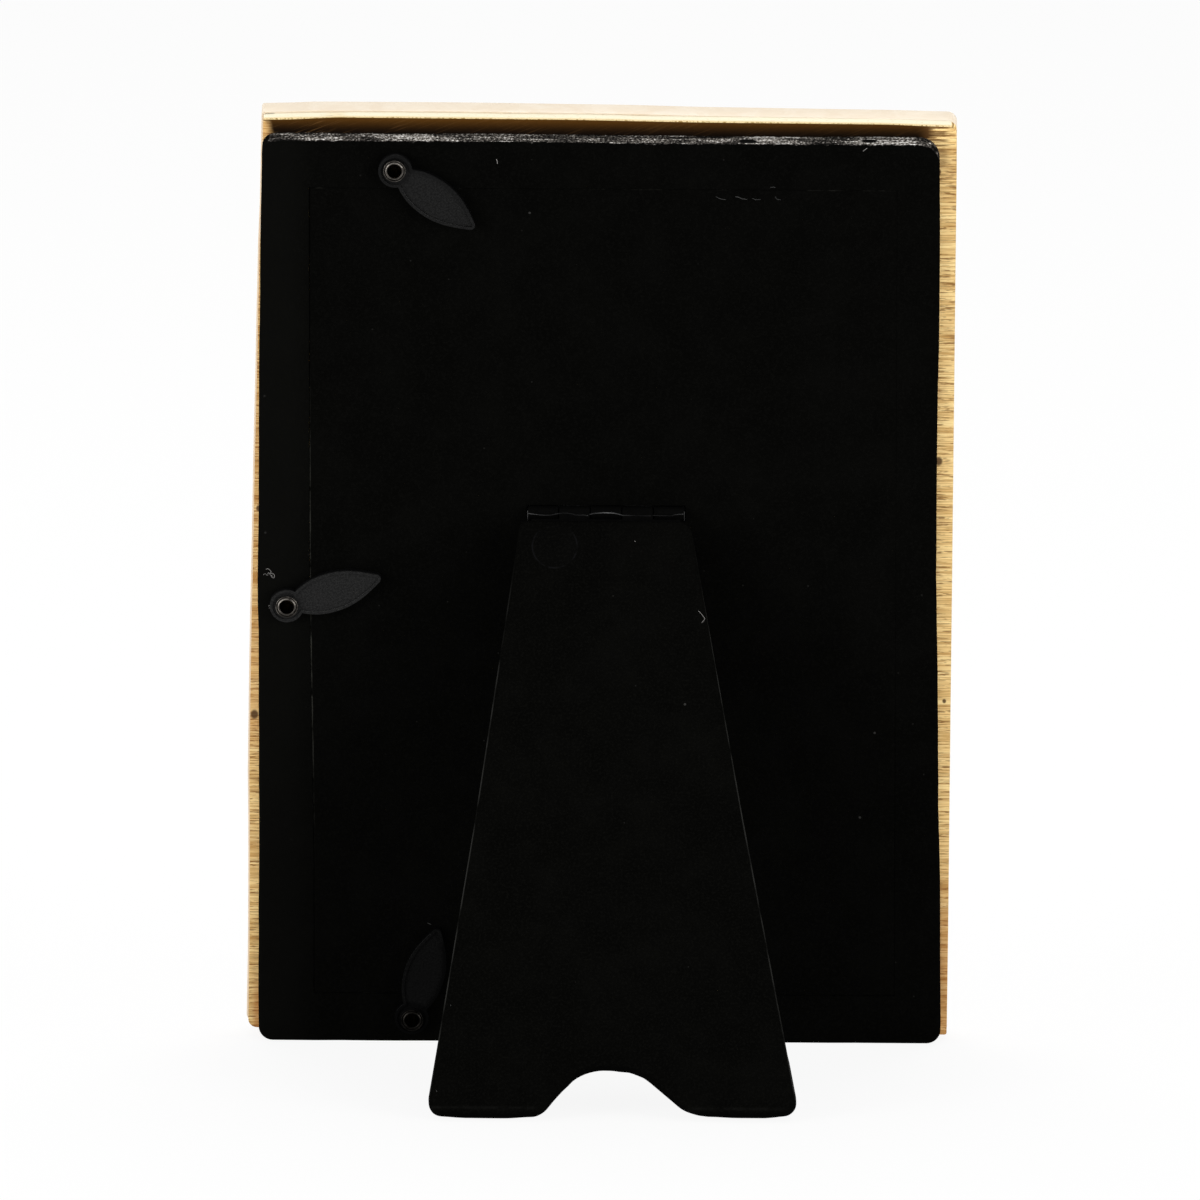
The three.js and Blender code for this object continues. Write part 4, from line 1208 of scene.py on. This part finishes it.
# A painted highlight along the hinge's black barrel, drawn as a fine line of bright steel: x, and the height
# above the pin
barrelHighlight = {
    "line": (
        (-14.3, 0.3), (-12.7, 0.1), (-11.4, -0.02), (-10, 0.05), (-8.9, 0.3), (-7.7, 0.42), (-6.4, 0.32),
        (-5.4, 0.1), (-4.1, 0.14), (-3.4, 0.05), (-2.5, 0.32), (-0.6, 0.48), (1.0, 0.46), (2.2, 0.3),
        (3.2, 0.1), (7.2, 0.05), (9.4, 0.03), (11.6, 0.0), (12.2, 0.0), (12.6, 0.2), (14.3, 0.34),
    ),
    # how bright the painted highlight is along the barrel: x and brightness
    "shine": (
        (-14.3, 0.045), (-12, 0.026), (-10.2, 0.013), (-7.6, 0.01), (-5.4, 0.012), (-4.0, 0.02),
        (-2.8, 0.03), (-1.2, 0.065), (0.3, 0.15), (1.6, 0.08), (3.0, 0.02), (5, 0.005), (12.0, 0.005),
        (12.8, 0.02), (14.3, 0.03),
    ),
    "half": 14.4,
    "width": 0.19,
    "radius": 1.3,
    "flat": ((-8.9, -3.3), (2.66, 8.37)),      # where the leg's leaf runs on level from the barrel
    "endAt": 14.42,                            # painted highlights on the rims at the barrel's two ends
    "endRadius": 0.05,
    "endDegrees": (-62, 36, 14),
}


# A fine tube through points, each with its radius.
def thread(name, points, finish, place, body):
    curve = bpy.data.curves.new(name, "CURVE")
    curve.dimensions = "3D"
    curve.bevel_depth = 1.0
    curve.bevel_resolution = 1
    curve.use_fill_caps = True
    spline = curve.splines.new("POLY")
    spline.points.add(len(points) - 1)
    for point, (x, y, z, radius) in zip(spline.points, points):
        point.co = (x, y, z, 1)
        point.radius = radius
    draft = bpy.data.objects.new(name, curve)
    scene.collection.objects.link(draft)
    bpy.context.view_layer.update()
    shown = draft.evaluated_get(bpy.context.evaluated_depsgraph_get())
    data = bpy.data.meshes.new_from_object(shown)
    bpy.data.objects.remove(draft)
    mesh = bmesh.new()
    mesh.from_mesh(data)
    return finishPiece(mesh, name, finish, place, body, 60)


# A smooth path through points, with a few more between each two.
def rounded(points, steps):
    smooth = []
    for i in range(len(points) - 1):
        before = Vector(points[max(i - 1, 0)])
        here, onward = Vector(points[i]), Vector(points[i + 1])
        after = Vector(points[min(i + 2, len(points) - 1)])
        for k in range(steps):
            t = k / steps
            second = (2 * before - 5 * here + 4 * onward - after) * t * t
            third = (3 * here - before - 3 * onward + after) * t ** 3
            smooth.append(tuple(0.5 * (2 * here + (onward - before) * t + second + third)))
    smooth.append(tuple(points[-1]))
    return smooth


def wornFinish(place):
    half = barrelHighlight["half"]
    finish = Finish("painted highlight steel", 0.4, fixed={"Specular IOR Level": 0.1})
    x = finish.parts(finish.placed(place))[0]
    stops = [((at + half) / (2 * half), (shine, shine, shine)) for at, shine in barrelHighlight["shine"]]
    finish.put("Base Color", finish.ramp((x + half) * (1 / (2 * half)), *stops))
    return finish


def makeWornBarrel():
    s = barrelHighlight
    place = onBack @ Matrix.Translation(standing["pinAt"])
    finish = wornFinish(place)
    opened = math.radians(standing["legOpen"])
    points = []
    for at in rounded([Vector((x, rise, 0)) for x, rise in s["line"]], 3):
        x, rise = at[:2]
        out = math.sqrt(s["radius"] ** 2 - rise ** 2)
        if any(low < x < high for low, high in s["flat"]):
            out = max(out, (s["radius"] - rise * math.sin(opened)) / math.cos(opened))
        points.append((x, rise, out, s["width"] / 2))
    thread("hinge_highlight_line", points, finish, place, "leg")
    # Painted highlights on the rims at the barrel's two ends
    low, high, step = s["endDegrees"]
    turns = [math.radians(degrees) for degrees in range(low, high + 1, step)]
    for name, x in (("left", -s["endAt"]), ("right", s["endAt"])):
        arc = [(x, s["radius"] * math.sin(t), s["radius"] * math.cos(t), s["endRadius"]) for t in turns]
        thread("hinge_end_" + name, arc, finish, place, "door")


makeWornBarrel()
print("hinge highlights")

# Lint on the velvet, as the photograph shows it: its body, shade, radius and path
lintBits = {
    "leg": ("leg", "pale", 0.05, ((17.2, -19.7, 4.2), (17.65, -20.2, 4.3), (18.05, -20.75, 4.3),
                                  (18.33, -21.25, 4.3), (17.8, -22.0, 4.22))),
    "legSpeck": ("leg", "pale", 0.05, ((5.3, -6.4, 4.17), (5.45, -6.5, 4.2), (5.5, -6.6, 4.17))),
    "legFold": ("leg", "dim", 0.05, ((-27.8, -94.9, 4.17), (-27.7, -95.0, 4.2), (-27.8, -95.1, 4.17))),
    "legFoot": ("leg", "dim", 0.07, ((-30.3, -111.2, 4.15), (-30.2, -111.3, 4.2), (-30.2, -111.4, 4.15))),
    "speck": ("frame_body", "pale", 0.07, ((-18.95, 173.0, 5.28), (-18.8, 172.6, 5.33),
                                           (-18.75, 172.1, 5.28))),
    "corner": ("frame_body", "pale", 0.06, ((48.4, 174.9, 5.26), (48.8, 175.2, 5.28), (49.2, 175.5, 5.22))),
    "left": ("frame_body", "pale", 0.05, ((-61.4, 92.6, 5.2), (-60.97, 92.8, 5.35), (-60.4, 92.2, 5.3),
                                          (-60.75, 91.8, 5.38), (-60.2, 91.9, 5.3), (-59.8, 91.5, 5.25),
                                          (-59.9, 91.0, 5.3), (-60.4, 91.3, 5.35), (-60.2, 91.65, 5.4))),
    "leftEnd": ("frame_body", "pale", 0.035, ((-62.0, 91.5, 5.2), (-61.5, 91.8, 5.3), (-61.1, 91.5, 5.35),
                                              (-60.9, 92.1, 5.4), (-60.5, 91.6, 5.42), (-60.1, 91.3, 5.35))),
    "collar": ("frame_body", "pale", 0.045, ((-60.9, 85.5, 5.3), (-60.6, 85.7, 5.6), (-60.4, 85.3, 5.6),
                                             (-60.8, 85.1, 5.3))),
    "headA": ("door", "dim", 0.05, ((21.4, 165.9, 5.22), (22.2, 165.5, 5.28), (23.2, 165.3, 5.22))),
    "headB": ("door", "dim", 0.07, ((25.0, 165.9, 5.22), (25.6, 165.8, 5.28), (26.3, 165.5, 5.26),
                                    (27.2, 165.4, 5.22))),
    "headC": ("door", "dim", 0.05, ((28.1, 165.6, 5.22), (28.8, 165.35, 5.27), (29.6, 165.4, 5.22))),
    "headD": ("frame_body", "dim", 0.05, ((31.3, 167.7, 5.2), (31.9, 167.8, 5.27), (32.4, 167.7, 5.2))),
    "headE": ("door", "dim", 0.04, ((32.3, 166.0, 5.22), (32.6, 165.5, 5.27), (33.4, 165.3, 5.22))),
    "foot": ("door", "dim", 0.05, ((-31.6, 23.4, 5.25), (-31.2, 23.2, 5.26), (-30.9, 23.1, 5.25))),
}
lintShades = {
    "pale": ((0.085, 0.08, 0.076), (0.22, 0.21, 0.2)),
    "dim": ((0.012, 0.012, 0.012), (0.035, 0.035, 0.034)),
}


def makeLint():
    finishes = {}
    for shade, (low, high) in lintShades.items():
        finish = Finish(shade + " lint", 0.9)
        finish.put("Base Color", finish.mix(finish.grain(finish.placed(onBack), 3.0), low, high))
        finishes[shade] = finish
    for name, (body, shade, radius, path) in lintBits.items():
        points = [(*at, radius) for at in rounded([Vector(at) for at in path], 4)]
        place = onLeg if body == "leg" else onBack
        thread("lint_" + name, points, finishes[shade], place, body)


makeLint()
print("lint")

# The photograph's own view, taken with a long lens
camera = {
    "lens": 1500,
    "sensor": 36,
    "near": 0.1,
    "far": 50,
    "azimuth": 0.616,
    "elevation": 11.503,
    "roll": 0.174,
    "distance": 9.2336,
    "aim": (0.019, -0.247, 81.741),
}
# A white room: a soft lamp to the left and one to the right of the frame's back, and one above its front
studio = {
    "fill": 0.52,
    "middle": (0, 0, 0.09),
    "lamps": (                       # place, size, watts
        ((-1.1, -0.75, 0.28), (0.7, 0.9), 13.5),
        ((1.1, -0.75, 0.28), (0.7, 0.9), 13.5),
        ((0.0, 0.45, 1.0), (0.9, 0.6), 5.5),
    ),
    "table": (0.9, 0.9, 0.9, 1),
    "tableHalf": 30,
    "tableGlow": 0.9,                # how far the camera sees it plain white, the rest keeps the shadow
}


def makeCamera():
    s = camera
    a, e = math.radians(s["azimuth"]), math.radians(s["elevation"])
    away = Vector((math.sin(a) * math.cos(e), -math.cos(a) * math.cos(e), math.sin(e)))
    data = bpy.data.cameras.new("camera")
    data.lens = s["lens"]
    data.sensor_width = s["sensor"]
    data.clip_start, data.clip_end = s["near"], s["far"]
    rig = bpy.data.objects.new("camera", data)
    scene.collection.objects.link(rig)
    aim = backOrigin + Vector(s["aim"]) * 0.001
    turn = away.to_track_quat("Z", "Y").to_matrix().to_4x4()
    roll = Matrix.Rotation(math.radians(s["roll"]), 4, "Z")
    rig.matrix_world = Matrix.Translation(aim + away * s["distance"]) @ turn @ roll
    scene.camera = rig


def makeLamps():
    middle = Vector(studio["middle"])
    for i, (at, size, watts) in enumerate(studio["lamps"]):
        data = bpy.data.lights.new("softbox" + str(i), "AREA")
        data.shape = "RECTANGLE"
        data.size, data.size_y = size
        data.energy = watts
        lamp = bpy.data.objects.new("softbox" + str(i), data)
        turn = (Vector(at) - middle).to_track_quat("Z", "Y").to_matrix().to_4x4()
        lamp.matrix_world = Matrix.Translation(at) @ turn
        scene.collection.objects.link(lamp)


# The world fills the shadows at a plain level, and is plain white to the camera and in reflections.
def makeWorld():
    world = bpy.data.worlds.new("white studio")
    scene.world = world
    world.use_nodes = True
    sky = Nodes(world.node_tree)
    seen = sky.node("ShaderNodeLightPath", out="Is Camera Ray")
    for kind in ("Is Glossy Ray", "Is Transmission Ray"):
        ray = sky.node("ShaderNodeLightPath", out=kind)
        seen = sky.node("ShaderNodeMath", {"operation": "MAXIMUM"}, {0: seen, 1: ray})
    strength = sky.node("ShaderNodeMapRange", None, {"Value": seen, "To Min": studio["fill"], "To Max": 1.0})
    background = sky.tree.nodes["Background"].inputs
    sky.join((1, 1, 1, 1), background["Color"])
    sky.join(strength, background["Strength"])


def makeFloor():
    mesh = bmesh.new()
    bmesh.ops.create_grid(mesh, x_segments=1, y_segments=1, size=studio["tableHalf"])
    data = bpy.data.meshes.new("floor")
    mesh.to_mesh(data)
    mesh.free()
    floor = bpy.data.objects.new("floor", data)
    scene.collection.objects.link(floor)
    finish = Finish("white table", 0.8, fixed={"Base Color": studio["table"], "Specular IOR Level": 0.1})
    data.materials.append(finish.material)
    rays = finish.node("ShaderNodeLightPath", out="Is Camera Ray")
    white = finish.node("ShaderNodeEmission", None, {"Color": (1, 1, 1, 1), "Strength": 1.0})
    lit = Wire(finish, finish.shader.outputs[0])
    shown = finish.node("ShaderNodeMixShader", None, {0: rays * studio["tableGlow"], 1: lit, 2: white})
    finish.join(shown, finish.tree.nodes["Material Output"].inputs["Surface"])


makeCamera()
makeLamps()
makeWorld()
makeFloor()
print("camera, lamps and floor")
